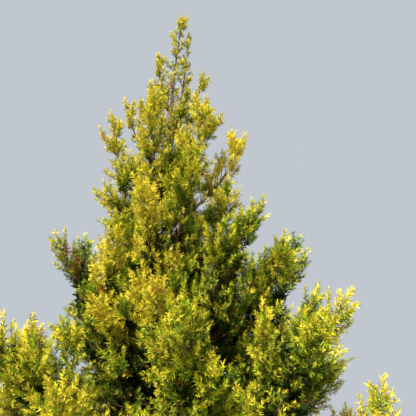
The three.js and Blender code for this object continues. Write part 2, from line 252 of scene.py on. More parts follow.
@dataclass(frozen=True)
class TrunkShape:
    """The trunk's sizes: its taper, its lean and sway, and the flare of its foot."""

    tree_height: float = 4.66
    top: float = 4.05
    radius: float = 0.058
    leader_radius: float = 0.006
    taper_power: float = 0.85
    lean: float = 0.205
    lean_turn: float = 0.78 * math.pi
    sway: float = 0.035
    sway_turn: float = 1.7 * math.pi
    flare: float = 0.052
    flare_height: float = 0.13
    lobes: int = 5
    lobe_depth: float = 0.16

    def axis(self, height: float) -> np.ndarray:
        """Work out where the trunk's axis runs.

        Args:
            height: The height above the ground.

        Returns:
            The point of the axis at that height.
        """
        share = height / self.tree_height
        across = -self.lean * math.sin(self.lean_turn * share)
        return np.array((across, self.sway * math.sin(self.sway_turn * share), height))

    def axes(self, heights: Iterable[float]) -> np.ndarray:
        """Return the points of the axis at several heights, one in each row."""
        return np.array([self.axis(height) for height in heights])

    def heights(self, steps: int) -> list[float]:
        """Return the heights of rings up the trunk, closer set at the foot."""
        return [self.top * (i / steps) ** STEP_POWER for i in range(steps + 1)]

    def radius_at(self, height: float) -> float:
        """Work out how thick the trunk is.

        Args:
            height: The height above the ground.

        Returns:
            The radius at that height, without its lobes.
        """
        taper = max(0.0, 1 - height / self.top) ** self.taper_power
        flare = self.flare * math.exp(-height / self.flare_height)
        return self.leader_radius + (self.radius - self.leader_radius) * taper + flare

    def lobe_at(self, height: float, turns: float) -> float:
        """Return the radius of a lobe over the plain radius, at a part of a lobe's turn."""
        depth = self.lobe_depth * math.exp(-height / self.flare_height)
        return 1 + depth * math.cos(2 * math.pi * turns)


@dataclass(frozen=True)
class Limb:
    """A limb's sizes: its turn round the trunk, where its foot and tip are, and its girth."""

    name: str
    turn: float
    foot: float
    reach: float
    tip: float
    girth: float


BOUGHS = (
    Limb("skirt_right", 5, 0.320, 1.260, 1.350, 0.580),
    Limb("skirt_back_right", 82, 0.340, 1.160, 1.080, 0.580),
    Limb("skirt_back_left", 154, 0.290, 1.190, 1.120, 0.580),
    Limb("skirt_front_left", 226, 0.330, 1.180, 1.060, 0.580),
    Limb("skirt_front_right", 298, 0.310, 1.190, 1.120, 0.580),
    Limb("low_right", 352, 0.880, 0.865, 2.080, 0.430),
    Limb("low_back_right", 52, 0.960, 1.060, 2.050, 0.480),
    Limb("low_back_left", 118, 0.870, 1.080, 2.020, 0.480),
    Limb("low_left", 186, 0.960, 1.120, 1.850, 0.410),
    Limb("low_front_left", 229, 0.860, 1.030, 1.740, 0.430),
    Limb("low_front", 278, 0.870, 0.900, 1.840, 0.410),
    Limb("low_front_right", 315, 0.980, 1.040, 1.880, 0.400),
    Limb("shoulder_right", 343, 1.190, 0.790, 2.385, 0.330),
    Limb("middle_right", 4, 1.560, 0.790, 2.570, 0.330),
    Limb("middle_back_right", 62, 1.470, 0.780, 2.580, 0.370),
    Limb("middle_back_left", 118, 1.570, 0.780, 2.560, 0.370),
    Limb("middle_left", 176, 1.400, 0.715, 2.480, 0.370),
    Limb("middle_front_left", 232, 1.550, 0.570, 2.380, 0.300),
    Limb("middle_front", 262, 1.430, 0.600, 2.660, 0.330),
    Limb("middle_front_right", 314, 1.500, 0.655, 2.600, 0.320),
    Limb("second_leader", 18, 3.260, 0.145, 4.500, 0.130),
)
# The stems of these stand on the trunk itself
SHOOTS = (
    Limb("upper_right", 350, 2.120, 0.450, 2.990, 0.260),
    Limb("upper_back", 74, 2.060, 0.540, 3.060, 0.260),
    Limb("upper_left", 158, 2.000, 0.405, 2.930, 0.250),
    Limb("upper_front_left", 218, 2.100, 0.420, 3.020, 0.250),
    Limb("upper_front", 288, 2.060, 0.480, 3.050, 0.250),
    Limb("high_right", 354, 2.640, 0.610, 3.370, 0.240),
    Limb("high_back", 84, 2.640, 0.420, 3.540, 0.220),
    Limb("high_left", 182, 2.560, 0.485, 3.620, 0.215),
    Limb("high_front", 252, 2.700, 0.380, 3.560, 0.210),
    Limb("high_front_right", 314, 2.720, 0.440, 3.530, 0.240),
    Limb("top_left", 188, 3.020, 0.370, 3.715, 0.145),
    Limb("top_shoot_left", 175, 3.560, 0.135, 4.240, 0.115),
    Limb("top_right", 352, 3.140, 0.270, 3.990, 0.150),
    Limb("crest_front_left", 222, 3.130, 0.290, 3.600, 0.150),
    Limb("crest_left", 192, 3.330, 0.180, 3.900, 0.110),
    Limb("crest_right", 318, 3.300, 0.200, 3.760, 0.115),
)

# How much yellower or greener some plumes are than the rest. This is partly their own tint and
# partly painted light and shade: the raised plumes carry painted sunlight, the lowered ones
# painted shade
PLUME_LIGHTS = {
    "middle_front": 0.24,
    "middle_front_left": 0.34,
    "middle_front_right": -0.15,
    "middle_right": -0.15,
    "low_front": -0.14,
    "low_front_right": -0.13,
    "low_right": -0.15,
    "shoulder_right": -0.06,
    "low_left": 0.02,
    "low_front_left": -0.08,
    "middle_left": -0.25,
    "low_back_left": -0.08,
    "high_right": 0.3,
    "upper_right": 0.1,
    "upper_left": -0.04,
    "high_left": -0.03,
}
# How many fronds have turned bronze, and on which plumes there are more of them
AGED_SHARE = 0.015
AGED_SHARES = {"middle_left": 0.2, "middle_front_left": 0.03, "upper_front": 0.02}
# Lightnesses that stand for bronze fronds, and for the painted shade inside
AGED_LIGHT = 10.0
SHADE_LIGHT = -2.0


@dataclass(frozen=True)
class Habit:
    """How the foliage of one tier grows.

    The light tells how much yellower it is than the rest, which at the top is painted light for
    the glow of sprigs that light shines through; the sprig scale how large its sprigs are over
    common ones, and the twigs stand so many on a square metre of a plume's surface and reach so
    far over its radius.
    """

    light: float
    sprig_scale: float
    twigs_per_area: float
    twig_reaches: Span


HABITS = {
    Tier.SKIRT: Habit(0.0, 1.35, 13.0, (0.66, 0.92)),
    Tier.LOW: Habit(-0.02, 0.96, 19.0, (0.66, 0.92)),
    Tier.MIDDLE: Habit(0.0, 1.0, 32.0, (0.68, 0.98)),
    Tier.UPPER: Habit(-0.03, 1.0, 38.0, (0.75, 1.1)),
    # The top's extra lightness is painted light, for the glow of backlit sprigs
    Tier.TOP: Habit(0.2, 0.95, 34.0, (0.8, 1.2)),
}


@dataclass
class Plume:
    """One plume of foliage on its limb, with its stem and where the wood of the stem ends."""

    name: str
    index: int
    girth: float
    curve: Run
    enter: float
    foot_radius: float
    is_bough: bool
    stem: Run = field(init=False)
    inner: Run = field(init=False)
    samples: np.ndarray = field(init=False)
    marks: np.ndarray = field(init=False)

    def __post_init__(self) -> None:
        """Work out the stem, its inner stretch of wood and the points that stand for it."""
        self.stem = self.curve.part(self.enter + GAP / self.curve.length(), 1.0)
        self.inner = self.stem.part(0.0, 1 - self.girth * TIP_SPRAY / self.stem.length())
        places = [blend(SAMPLES_FROM, 1, i / (SAMPLES - 1)) for i in range(SAMPLES)]
        self.samples = self.stem.points(places)
        self.marks = self.stem.points(np.linspace(0, 1, STEM_MARKS))

    @property
    def enter_radius(self) -> float:
        """Return the radius of the wood where it enters the plume."""
        return self.foot_radius if self.name == "apex" else self.foot_radius * BOUGH_TIP_SHARE

    @property
    def node(self) -> str:
        """Return the name of the plume's solid."""
        return f"foliage_{self.name}"

    @property
    def tier(self) -> Tier:
        """Return the tier that the plume belongs to."""
        return Tier.of(self.name)

    def surface(self, run: Run, body: float) -> float:
        """Return the area round a run of the plume, at a share of its girth."""
        return 2 * math.pi * body * self.girth * run.length()


class Crown:
    """The plan of the whole crown: every limb, its plume and the space that the plume keeps to."""

    def __init__(self, trunk: TrunkShape) -> None:
        """Plan the limbs on a trunk.

        Args:
            trunk: The trunk's shape.
        """
        self.trunk = trunk
        self.plumes = [self._plan(limb, i, True) for i, limb in enumerate(BOUGHS)]
        self.plumes += [self._plan(limb, len(BOUGHS) + i, False) for i, limb in enumerate(SHOOTS)]
        self.plumes.append(self._plan_apex())
        self._lay_chains()

    def _plan(self, limb: Limb, index: int, is_bough: bool) -> Plume:
        """Plan one limb and its plume.

        Args:
            limb: The limb's sizes.
            index: Its place among all limbs.
            is_bough: Whether a bare bough carries the plume.

        Returns:
            The planned plume.
        """
        outward = turned(RIGHT, UP, limb.turn)
        start = self.trunk.axis(limb.foot)
        rise = limb.tip - limb.foot
        bend = start + outward * limb.reach * BEND_OUT + UP * rise * BEND_UP
        end = start + outward * limb.reach
        end[2] = limb.tip
        curve = Run(start, bend, end)
        foot_radius = max(curve.length() * BOUGH_SLIMNESS, STEM_TIP_RADIUS * 2)
        enter = LEADER_SHARE if limb.name == "second_leader" else BOUGH_SHARE
        if not is_bough:
            # A shoot's stem starts just outside the trunk's bark
            wall = self.trunk.radius_at(limb.foot) + foot_radius
            enter = 0.0
            while self._from_axis(curve.point(enter)) < wall:
                enter += ENTER_STEP
        return Plume(limb.name, index, limb.girth, curve, enter, foot_radius, is_bough)

    def _plan_apex(self) -> Plume:
        """Plan the plume that ends the trunk.

        Returns:
            The plume at the apex.
        """
        low = self.trunk.axis(self.trunk.top)
        high = self.trunk.axis(self.trunk.tree_height)
        run = Run(low, (low + high) / 2, high)
        radius = self.trunk.leader_radius
        return Plume("apex", len(self.plumes), APEX_GIRTH, run, 0.0, radius, False)

    def _from_axis(self, point: np.ndarray) -> float:
        """Return how far a point lies from the trunk's axis at its own height."""
        return float(np.linalg.norm(point - self.trunk.axis(point[2])))

    def _lay_chains(self) -> None:
        """Lay the chains of short links that stand for the trunk and the bare boughs."""
        heights = self.trunk.heights(TRUNK_LINKS)
        chains = [[(self.trunk.axis(z), self.trunk.radius_at(z)) for z in heights]]
        places = [i / BOUGH_LINKS for i in range(BOUGH_LINKS + 1)]
        for plume in self.plumes:
            if plume.is_bough:
                bare = plume.curve.part(0.0, plume.enter)
                radii = [blend(plume.foot_radius, plume.enter_radius, t) for t in places]
                chains.append([(bare.point(t), radius) for t, radius in zip(places, radii)])
        links = [link for chain in chains for link in zip(chain, chain[1:])]
        self.link_starts = np.array([low[0] for low, _ in links])
        self.link_runs = np.array([high[0] - low[0] for low, high in links])
        self.link_radii = np.array([(low[1], high[1]) for low, high in links])

    def touches(self, points: np.ndarray) -> np.ndarray:
        """Tell which points would touch the trunk or a bare bough.

        Args:
            points: The points, one in each row.

        Returns:
            True for each point that would touch.
        """
        from_start = points[:, None, :] - self.link_starts[None]
        along = (from_start * self.link_runs).sum(-1) / (self.link_runs**2).sum(-1)
        along = np.clip(along, 0, 1)
        distance = np.linalg.norm(from_start - along[..., None] * self.link_runs, axis=-1)
        radius = blend(self.link_radii[:, 0], self.link_radii[:, 1], along)
        return (distance < radius + TOUCH_MARGIN).any(axis=1)

    def space_of(self, plume: Plume) -> "Space":
        """Work out the space that a plume keeps to.

        Between two stems stands the plane that leaves the widest room, of those that stand across
        a line from one to the other, nearer to the thinner plume.

        Args:
            plume: The plume.

        Returns:
            The space, as planes that face outwards.
        """
        normals, reaches = [], []
        for other in self.plumes:
            if other is plume:
                continue
            across = unit((other.samples[None] - plume.samples[:, None]).reshape(-1, 3))
            near = (across @ plume.samples.T).max(axis=1)
            far = (across @ other.samples.T).min(axis=1)
            best = int(np.argmax(far - near))
            share = plume.girth / (plume.girth + other.girth)
            normals.append(across[best])
            reaches.append(near[best] + (far[best] - near[best]) * share - ROOM)
        return Space(np.array(normals), np.array(reaches), self)


@dataclass(frozen=True)
class Space:
    """A plume's own space: the planes that part it from its neighbours, and the limbs in it."""

    normals: np.ndarray
    reaches: np.ndarray
    crown: Crown

    def holds(self, points: np.ndarray, allowance: float = 0.0) -> np.ndarray:
        """Tell which points lie in the space.

        Args:
            points: The points, one in each row.
            allowance: How far past a plane a point may lie.

        Returns:
            True for each point in the space.
        """
        within = (points @ self.normals.T < self.reaches + allowance).all(axis=1)
        return within & (points[:, 2] > GROUND_CLEAR)

    def is_free(self, points: Iterable[np.ndarray]) -> bool:
        """Tell whether every point lies in the space and clear of every limb."""
        rows = np.array(list(points))
        return bool((self.holds(rows) & ~self.crown.touches(rows)).all())

    def first_fit(self, foot: np.ndarray, run: np.ndarray, fits: tuple[float, ...]) -> float | None:
        """Find out how much of a twig the space has room for.

        Args:
            foot: Where the twig starts.
            run: The twig's run at its full length.
            fits: The shares of it that are tried, in order.

        Returns:
            The first share that fits, or None.
        """
        for fit in fits:
            if self.is_free((foot + run * fit / 2, foot + run * fit)):
                return fit
        return None


@dataclass(frozen=True)
class OpenSpace:
    """The space along a bare stretch of wood, which no plane parts."""

    def holds(self, points: np.ndarray, allowance: float = 0.0) -> np.ndarray:
        """Return True for every point, whatever the allowance."""
        return np.full(len(points), True)


@dataclass(frozen=True)
class Site:
    """Where foliage grows: its plume, the space that it keeps to, and the source of its chances."""

    plume: Plume
    space: Space | OpenSpace
    rng: np.random.Generator


@dataclass
class Seeded:
    """A small generator of numbers between two values, the same each time for a seed."""

    MULTIPLIER = 1664525
    INCREMENT = 1013904223
    MODULUS = 4294967296

    state: int

    def between(self, low: float, high: float) -> float:
        """Return the next number between two values."""
        self.state = (self.state * self.MULTIPLIER + self.INCREMENT) % self.MODULUS
        return blend(low, high, self.state / self.MODULUS)


@dataclass(frozen=True)
class Blade:
    """One spray of the solid: where its root lies, which way it runs and faces, and its length."""

    root: np.ndarray
    direction: np.ndarray
    facing: np.ndarray
    length: float

    def frame(self) -> Pair:
        """Return the blade's normal and the direction across it."""
        normal = unit(self.facing - np.dot(self.facing, self.direction) * self.direction)
        return normal, np.cross(normal, self.direction)


@dataclass(frozen=True)
class GrowthRule:
    """The rule by which a plume's solid grows its twigs and toothed sprays."""

    # The points of a blade that have to be free: how far along it from its middle, and across it
    RIM = ((-0.03, 0.5), (0.12, 0.19), (0.5, 0.0), (0.12, -0.19), (-0.03, -0.5))

    dense_girth: float = 0.16
    twig_count: int = 5
    dense_span: Span = (0.22, 0.95)
    open_span: Span = (0.1, 0.92)
    dense_side: float = 0.7
    open_side: float = 0.5
    twig_reach: float = 0.42
    twig_angles: Span = (58, 32)
    twig_turn: float = 6
    spray_length: float = 1.15
    spray_width: float = 0.46
    spray_spread: float = 0.16
    spray_tilt: float = 50
    spray_sunk: float = 0.014
    side_lean: float = 38
    side_roll: float = 90

    def grow(self, plume: Plume, space: Space) -> tuple[list[Pair], list[Blade]]:
        """Grow one plume.

        Args:
            plume: The plume.
            space: The space that it keeps to.

        Returns:
            The twigs, each as its foot and its tip, and the blades.
        """
        draw = Seeded(FIRST_SEED + plume.index * SEED_STEP).between
        is_dense = plume.girth > self.dense_girth
        span = self.dense_span if is_dense else self.open_span
        spread = (1 - self.spray_spread, 1 + self.spray_spread)
        twigs: list[Pair] = []
        blades = self._tip_blade(plume, space)
        first_roll = draw(0, FULL_TURN)
        for k in range(self.twig_count):
            place = k / (self.twig_count - 1)
            along = blend(*span, place)
            foot = plume.inner.point(along)
            angle = blend(*self.twig_angles, place) + draw(-self.twig_turn, self.twig_turn)
            tangent = plume.inner.tangent(along)
            direction = leaving(tangent, angle, first_roll + k * GOLDEN_ANGLE)
            reach = plume.girth * self.twig_reach * plume_profile(along)
            lengths = [plume.girth * self.spray_length * draw(*spread) for _ in range(2)]
            tilt = draw(-self.spray_tilt, self.spray_tilt)
            fit = space.first_fit(foot, direction * reach, FITS)
            if fit is None:
                continue
            tip = foot + direction * reach * fit
            twigs.append((foot, tip))
            outward = unit(tip - plume.stem.point(along))
            facing = turned(outward, direction, tilt)
            blades += self._blade(space, tip, (direction, tangent), facing, lengths[0])
            if k > 0:
                way = leaving(direction, self.side_lean, self.side_roll + tilt)
                start = blend(foot, tip, self.dense_side if is_dense else self.open_side)
                facing = turned(outward, way, -tilt)
                blades += self._blade(space, start, (way, tangent), facing, lengths[1])
        return twigs, blades

    def _tip_blade(self, plume: Plume, space: Space) -> list[Blade]:
        """Set the blade at a plume's tip.

        Args:
            plume: The plume.
            space: The space that it keeps to.

        Returns:
            The blade alone in a list, or nothing where it doesn't fit.
        """
        stem_end = plume.inner.point(1.0)
        to_tip = plume.stem.point(1.0) - stem_end
        length = float(np.linalg.norm(to_tip)) + self.spray_sunk
        return self._blade(space, stem_end, (unit(to_tip), unit(to_tip)), RIGHT, length)

    def _blade(
        self, space: Space, foot: np.ndarray, ways: Pair, facing: np.ndarray, length: float
    ) -> list[Blade]:
        """Set a blade, tried again shorter and closer to its stem where it doesn't fit.

        Args:
            space: The space that it keeps to.
            foot: The point that it stands on.
            ways: Its own direction, and its stem's.
            facing: The direction that it faces.
            length: Its length where it fits at once.

        Returns:
            The blade alone in a list, or nothing where it doesn't fit.
        """
        way, along = ways
        for fit in FITS:
            direction = unit(blend(way, along, 1 - fit))
            blade = Blade(foot - direction * self.spray_sunk, direction, facing, length * fit)
            _, across = blade.frame()
            middle = blade.root + direction * blade.length / 2
            rim = [
                middle + direction * u * blade.length + across * v * blade.length * self.spray_width
                for u, v in self.RIM
            ]
            if space.is_free([middle, *rim]):
                return [blade]
        return []


@dataclass(frozen=True)
class SprigKit:
    """The shapes that the sprigs are made of: a folded leading shoot, and pointed side shoots.

    A sprig runs along +X from the origin at length one, spreads along Y and faces Z. The lengths
    of its side shoots are over its own, and their widths over theirs.
    """

    kinds: int = 8
    width: float = 0.13
    widest_at: float = 0.4
    fold: float = 0.28
    side_shoots: int = 6
    side_width: float = 0.24
    side_lengths: Span = (0.68, 0.4)
    side_places: Span = (0.06, 0.68)
    place_spread: float = 0.2
    length_spread: Span = (0.8, 1.2)
    leans: Span = (66, 32)
    roll: float = 60
    twist: float = 40
    heel: float = 0.2
    seed: int = 41

    def build(self) -> list[Shape]:
        """Build every kind of sprig.

        Returns:
            The points and the triangles of each kind.
        """
        rng = np.random.default_rng(self.seed)
        return [self._sprig(rng) for _ in range(self.kinds)]

    def _sprig(self, rng: np.random.Generator) -> Shape:
        """Build one sprig, with side shoots to the left and the right in turn.

        Args:
            rng: What its chances are drawn from.

        Returns:
            Its points and triangles.
        """
        half, sunk = self.width / 2, -self.width * self.fold
        edges = [(self.widest_at, half, sunk), (self.widest_at, -half, sunk)]
        points = [(0, 0, 0), (1, 0, 0), *edges]
        faces = [(0, 3, 1), (0, 1, 2)]
        for k in range(self.side_shoots):
            jitter = rng.uniform(-self.place_spread, self.place_spread)
            place = (k + jitter) / (self.side_shoots - 1)
            start = RIGHT * blend(*self.side_places, place)
            roll = rng.uniform(-self.roll, self.roll)
            lean = blend(*self.leans, place) * (1 if k % 2 else -1)
            way = turned(turned(RIGHT, UP, lean), RIGHT, roll)
            twist = rng.uniform(-self.twist, self.twist)
            across = np.cross(turned(UP, RIGHT, roll + twist), way)
            length = blend(*self.side_lengths, place) * rng.uniform(*self.length_spread)
            side = across * length * self.side_width / 2
            first = len(points)
            points += [start + way * length, start + way * length * self.heel + side, start - side]
            faces.append((first, first + 1, first + 2))
        return np.array(points), np.array(faces)


KIT = SprigKit()
BOLD_KIT = SprigKit(width=0.17, side_width=0.32, side_shoots=5, seed=43)
PLAIN_KIT = SprigKit(width=0.15, side_width=0.32, side_shoots=4)
COARSE_KIT = SprigKit(width=0.28, side_width=0.54, side_shoots=4)


@dataclass(frozen=True)
class Sprigs:
    """A set of sprigs: where each starts, which way it runs and faces, and its length."""

    roots: np.ndarray
    ways: np.ndarray
    faces: np.ndarray
    lengths: np.ndarray

    @property
    def rows(self) -> tuple[np.ndarray, ...]:
        """Return the four rows of values."""
        return self.roots, self.ways, self.faces, self.lengths

    def chosen(self, which: np.ndarray) -> "Sprigs":
        """Return the sprigs that are picked by truth or by number."""
        return Sprigs(*(row[which] for row in self.rows))

    @classmethod
    def joined(cls, sets: list["Sprigs"]) -> "Sprigs":
        """Return several sets as one."""
        return cls(*(np.concatenate(parts) for parts in zip(*(part.rows for part in sets))))


@dataclass
class Wood:
    """Thin wood gathered as closed tapering tubes: stems, twigs and the midribs of fronds."""

    STEEP_WOOD = 0.9
    THIRDS = (0.0, 2 * math.pi / 3, 4 * math.pi / 3)
    SPIKE_FACES = ((0, 1, 3), (1, 2, 3), (2, 0, 3), (0, 2, 1))

    points: list[np.ndarray] = field(default_factory=list)
    faces: list[np.ndarray] = field(default_factory=list)
    count: int = 0

    def _keep(self, points: np.ndarray, faces: Iterable[tuple[int, int, int]]) -> None:
        """Keep the points and triangles of one piece of wood, numbered on from the last.

        Args:
            points: Its points, one in each row.
            faces: Its triangles, as three numbers of its own points each.
        """
        self.points.append(points)
        self.faces.append(np.array(faces) + self.count)
        self.count += len(points)

    def add(self, axis: np.ndarray, radii: np.ndarray, sides: int) -> None:
        """Add a tube.

        Args:
            axis: The points of its axis, one in each row.
            radii: Its radius at each point.
            sides: How many sides it has.
        """
        run = unit(axis[-1] - axis[0])
        across = sideways(run, self.STEEP_WOOD)
        other = np.cross(run, across)
        angles = np.arange(sides) * 2 * math.pi / sides
        ring = np.cos(angles)[:, None] * across + np.sin(angles)[:, None] * other
        rings = axis[:, None, :] + ring[None] * radii[:, None, None]
        faces = []
        for step in range(len(axis) - 1):
            for side in range(sides):
                a = step * sides + side
                b = step * sides + (side + 1) % sides
                faces += [(a, b, b + sides), (a, b + sides, a + sides)]
        last = (len(axis) - 1) * sides
        for side in range(1, sides - 1):
            faces += [(0, side + 1, side), (last, last + side, last + side + 1)]
        self._keep(rings.reshape(-1, 3), faces)

    def add_spike(self, foot: np.ndarray, tip: np.ndarray, radius: float) -> None:
        """Add a slim spike of three sides with a closed foot.

        Args:
            foot: The middle of its foot.
            tip: Its tip.
            radius: The radius of its foot.
        """
        run = unit(tip - foot)
        across = sideways(run, self.STEEP_WOOD) * radius
        other = np.cross(run, across)
        ring = [foot + across * math.cos(turn) + other * math.sin(turn) for turn in self.THIRDS]
        self._keep(np.array([*ring, tip]), self.SPIKE_FACES)


@dataclass
class Harvest:
    """All that has grown in one tier: its thin wood, and its sprigs with how light each is."""

    wood: Wood = field(default_factory=Wood)
    sprigs: list[Sprigs] = field(default_factory=list)
    lights: list[np.ndarray] = field(default_factory=list)

    def add(self, sprigs: Sprigs, lights: np.ndarray) -> None:
        """Add a set of sprigs with their lightnesses."""
        self.sprigs.append(sprigs)
        self.lights.append(lights)


@dataclass(frozen=True)
class Frond:
    """The sizes by which a frond sets its sprigs round its midrib."""

    sprig_gap: float = 0.0135
    least_sprigs: int = 3
    sprig_share: float = 0.42
    sprig_sizes: Span = (0.03, 0.05)
    size_spread: Span = (0.82, 1.18)
    foot_size: float = 1.06
    size_loss: float = 0.3
    angles: Span = (62, 14)
    angle_spread: float = 0.16
    face_spread: float = 0.5
    first: float = 0.16
    lift: float = 0.14
    curl: float = 0.14
    rib_overlap: float = 0.85
    least_rib: float = 0.3
    rib_radius: float = 0.0018
    rib_growth: float = 3.0

    def rib(self, length: float) -> float:
        """Return the radius at the foot of a frond's midrib, by the frond's length."""
        return self.rib_radius * (1 + length * self.rib_growth)

    def grow(
        self,
        root: np.ndarray,
        way: np.ndarray,
        length: float,
        scale: float,
        rng: np.random.Generator,
    ) -> tuple[Sprigs, np.ndarray]:
        """Grow one frond.

        Args:
            root: Where it starts.
            way: Its direction.
            length: Its length to the tip of its last sprig.
            scale: The size of its sprigs over common ones.
            rng: What its chances are drawn from.

        Returns:
            Its sprigs, and the place of each along it.
        """
        size = float(np.clip(length * self.sprig_share, *self.sprig_sizes)) * scale
        count = max(self.least_sprigs, round(length / (self.sprig_gap * scale)))
        places = np.linspace(self.first, 1.0, count)
        rib = max(length - size * self.rib_overlap, length * self.least_rib)
        roots = root + places[:, None] * way * rib + (places**2)[:, None] * UP * rib * self.curl
        across = sideways(way)
        other = np.cross(way, across)
        rolls = np.radians(rng.uniform(0, FULL_TURN) + np.arange(count) * GOLDEN_ANGLE)
        outward = np.cos(rolls)[:, None] * across + np.sin(rolls)[:, None] * other
        angles = np.radians(blend(*self.angles, places)) + rng.normal(0, self.angle_spread, count)
        ways = np.cos(angles)[:, None] * way + np.sin(angles)[:, None] * outward
        ways = unit(ways + UP * self.lift + (places * self.curl)[:, None] * UP)
        faces = outward + rng.normal(0, self.face_spread, (count, 3))
        spread = rng.uniform(*self.size_spread, count)
        lengths = size * spread * (self.foot_size - self.size_loss * places)
        return Sprigs(roots, ways, faces, lengths), places


@dataclass(frozen=True)
class LightRule:
    """How light a sprig is by where it stands, from about 0 deep inside to 1 at a sunlit tip.

    The first five sizes are what each thing adds at its full: the way out from the plume's stem,
    the place along the frond and along the stem, the way out from the trunk, and how straight the
    sprig faces the sun. The crown's hull is its radius at a height, from the slope of its side.
    The lightness is partly the foliage's own tint, gold outside and greener within, and partly
    painted light and shade: the sun's part is painted sunlight on the sprigs that face the key
    lamp, and the dark inside is partly painted shade.
    """

    from_stem: float = 0.24
    on_frond: float = 0.4
    on_stem: float = 0.08
    from_trunk: float = 0.24
    # How much lighter painted sunlight makes a sprig that faces the lamp
    painted_sun: float = 0.2
    darkening: float = 0.1
    full_girth: float = 0.85
    stem_limit: float = 1.2
    hull_limit: float = 1.1
    hull_slope: float = 1.25
    hull_top: float = 0.12
    near_trunk: float = 0.05
    near_stem: float = 0.02
    # The direction that the painted sunlight comes from: the front left and above
    sun: np.ndarray = field(default_factory=lambda: unit(np.array((-0.55, -0.5, 0.68))))

    def lights(
        self, plume: Plume, trunk: TrunkShape, roots: np.ndarray, places: np.ndarray
    ) -> np.ndarray:
        """Work out how light sprigs are from where they stand.

        Args:
            plume: The plume that they belong to.
            trunk: The trunk's shape.
            roots: Where each starts.
            places: Where each stands along its frond.

        Returns:
            The lightness of each.
        """
        offsets = roots[:, None, :] - plume.marks[None]
        nearest = np.linalg.norm(offsets, axis=-1).argmin(axis=1)
        offset = offsets[np.arange(len(roots)), nearest]
        far = np.linalg.norm(offset, axis=1)
        out = np.clip(far / (plume.girth * self.full_girth), 0, self.stem_limit)
        along = nearest / (STEM_MARKS - 1)
        away = roots - trunk.axes(roots[:, 2])
        spread = np.linalg.norm(away, axis=1) + self.near_trunk
        facing = away / spread[:, None] + offset / (far[:, None] + self.near_stem)
        # Painted sunlight: the side that faces the lamp is dealt lighter tones
        sunlit = facing @ self.sun / 2
        hull = self.hull_slope * (1 - roots[:, 2] / trunk.tree_height) + self.hull_top
        outer = np.clip(spread / hull, 0, self.hull_limit)
        # The plume's and the tier's own lightness, partly tint and partly painted light and shade
        own = PLUME_LIGHTS.get(plume.name, 0.0) + HABITS[plume.tier].light
        by_stem = own + self.from_stem * out + self.on_frond * places + self.on_stem * along
        return by_stem + self.from_trunk * outer + self.painted_sun * sunlit - self.darkening


@dataclass
class Branching:
    """Grows fronds and fine branches, and gathers all that has grown, tier by tier."""

    crown: Crown
    frond: Frond = Frond()
    light: LightRule = LightRule()
    # How far the lightness of fronds varies, how much of an old one is bronze, how far its
    # sprigs may stand past the plume's space, and how many have to be in it
    light_spread: float = 0.07
    aged_until: float = 0.75
    past_space: float = 0.03
    least_sprigs: int = 2
    # A branch of this length or more has a rib with fronds all round it and one at its end
    branching_from: float = 0.13
    rib_share: float = 0.72
    rib_radius: float = 0.0026
    frond_gap: float = 0.034
    frond_places: Span = (0.1, 0.95)
    frond_angles: Span = (56, 30)
    frond_lift: float = 0.25
    frond_shares: Span = (0.46, 0.3)
    frond_spread: Span = (0.8, 1.2)
    outer_light: float = 0.1
    end_share: float = 0.3
    end_light: float = 0.08
    tiers: dict[Tier, Harvest] = field(default_factory=lambda: {tier: Harvest() for tier in Tier})

    def add_frond(
        self, site: Site, root: np.ndarray, way: np.ndarray, length: float, light: float = 0.0
    ) -> None:
        """Grow a frond and keep its sprigs that stay in the site's space.

        Args:
            site: Where it grows.
            root: Where it starts.
            way: Its direction.
            length: Its length.
            light: How much lighter it is than its place makes it.
        """
        plume, rng = site.plume, site.rng
        sprigs, places = self.frond.grow(root, way, length, HABITS[plume.tier].sprig_scale, rng)
        roots = sprigs.roots
        shade = rng.normal(0, self.light_spread)
        lights = self.light.lights(plume, self.crown.trunk, roots, places) + shade + light
        if rng.uniform(0, 1) < AGED_SHARES.get(plume.name, AGED_SHARE):
            lights = np.where(places < self.aged_until, AGED_LIGHT, lights)
        kept = site.space.holds(roots, self.past_space) & ~self.crown.touches(roots)
        if kept.sum() < self.least_sprigs:
            return
        tier = self.tiers[plume.tier]
        tier.wood.add_spike(root, roots[kept][-1], self.frond.rib(length))
        tier.add(sprigs.chosen(kept), lights[kept])

    def add_branch(self, site: Site, root: np.ndarray, way: np.ndarray, length: float) -> None:
        """Grow a fine branch: a single frond where it is short, and many round it where it is long.

        Args:
            site: Where it grows.
            root: Where it starts.
            way: Its direction.
            length: Its length.
        """
        if length < self.branching_from:
            self.add_frond(site, root, way, length)
            return
        rng = site.rng
        tip = root + (way + UP * self.frond.curl) * length * self.rib_share
        self.tiers[site.plume.tier].wood.add_spike(root, tip, self.rib_radius)
        count = round(length / self.frond_gap)
        roll = rng.uniform(0, FULL_TURN)
        shade = rng.normal(0, self.light_spread)
        for k in range(count):
            place = (k + 0.5) / count
            angle = blend(*self.frond_angles, place)
            side = leaving(way, angle, roll + k * GOLDEN_ANGLE, self.frond_lift)
            size = length * blend(*self.frond_shares, place) * rng.uniform(*self.frond_spread)
            start = blend(root, tip, blend(*self.frond_places, place))
            self.add_frond(site, start, side, size, self.outer_light * (place - 0.5) + shade)
        self.add_frond(site, tip, way, length * self.end_share, self.end_light + shade)


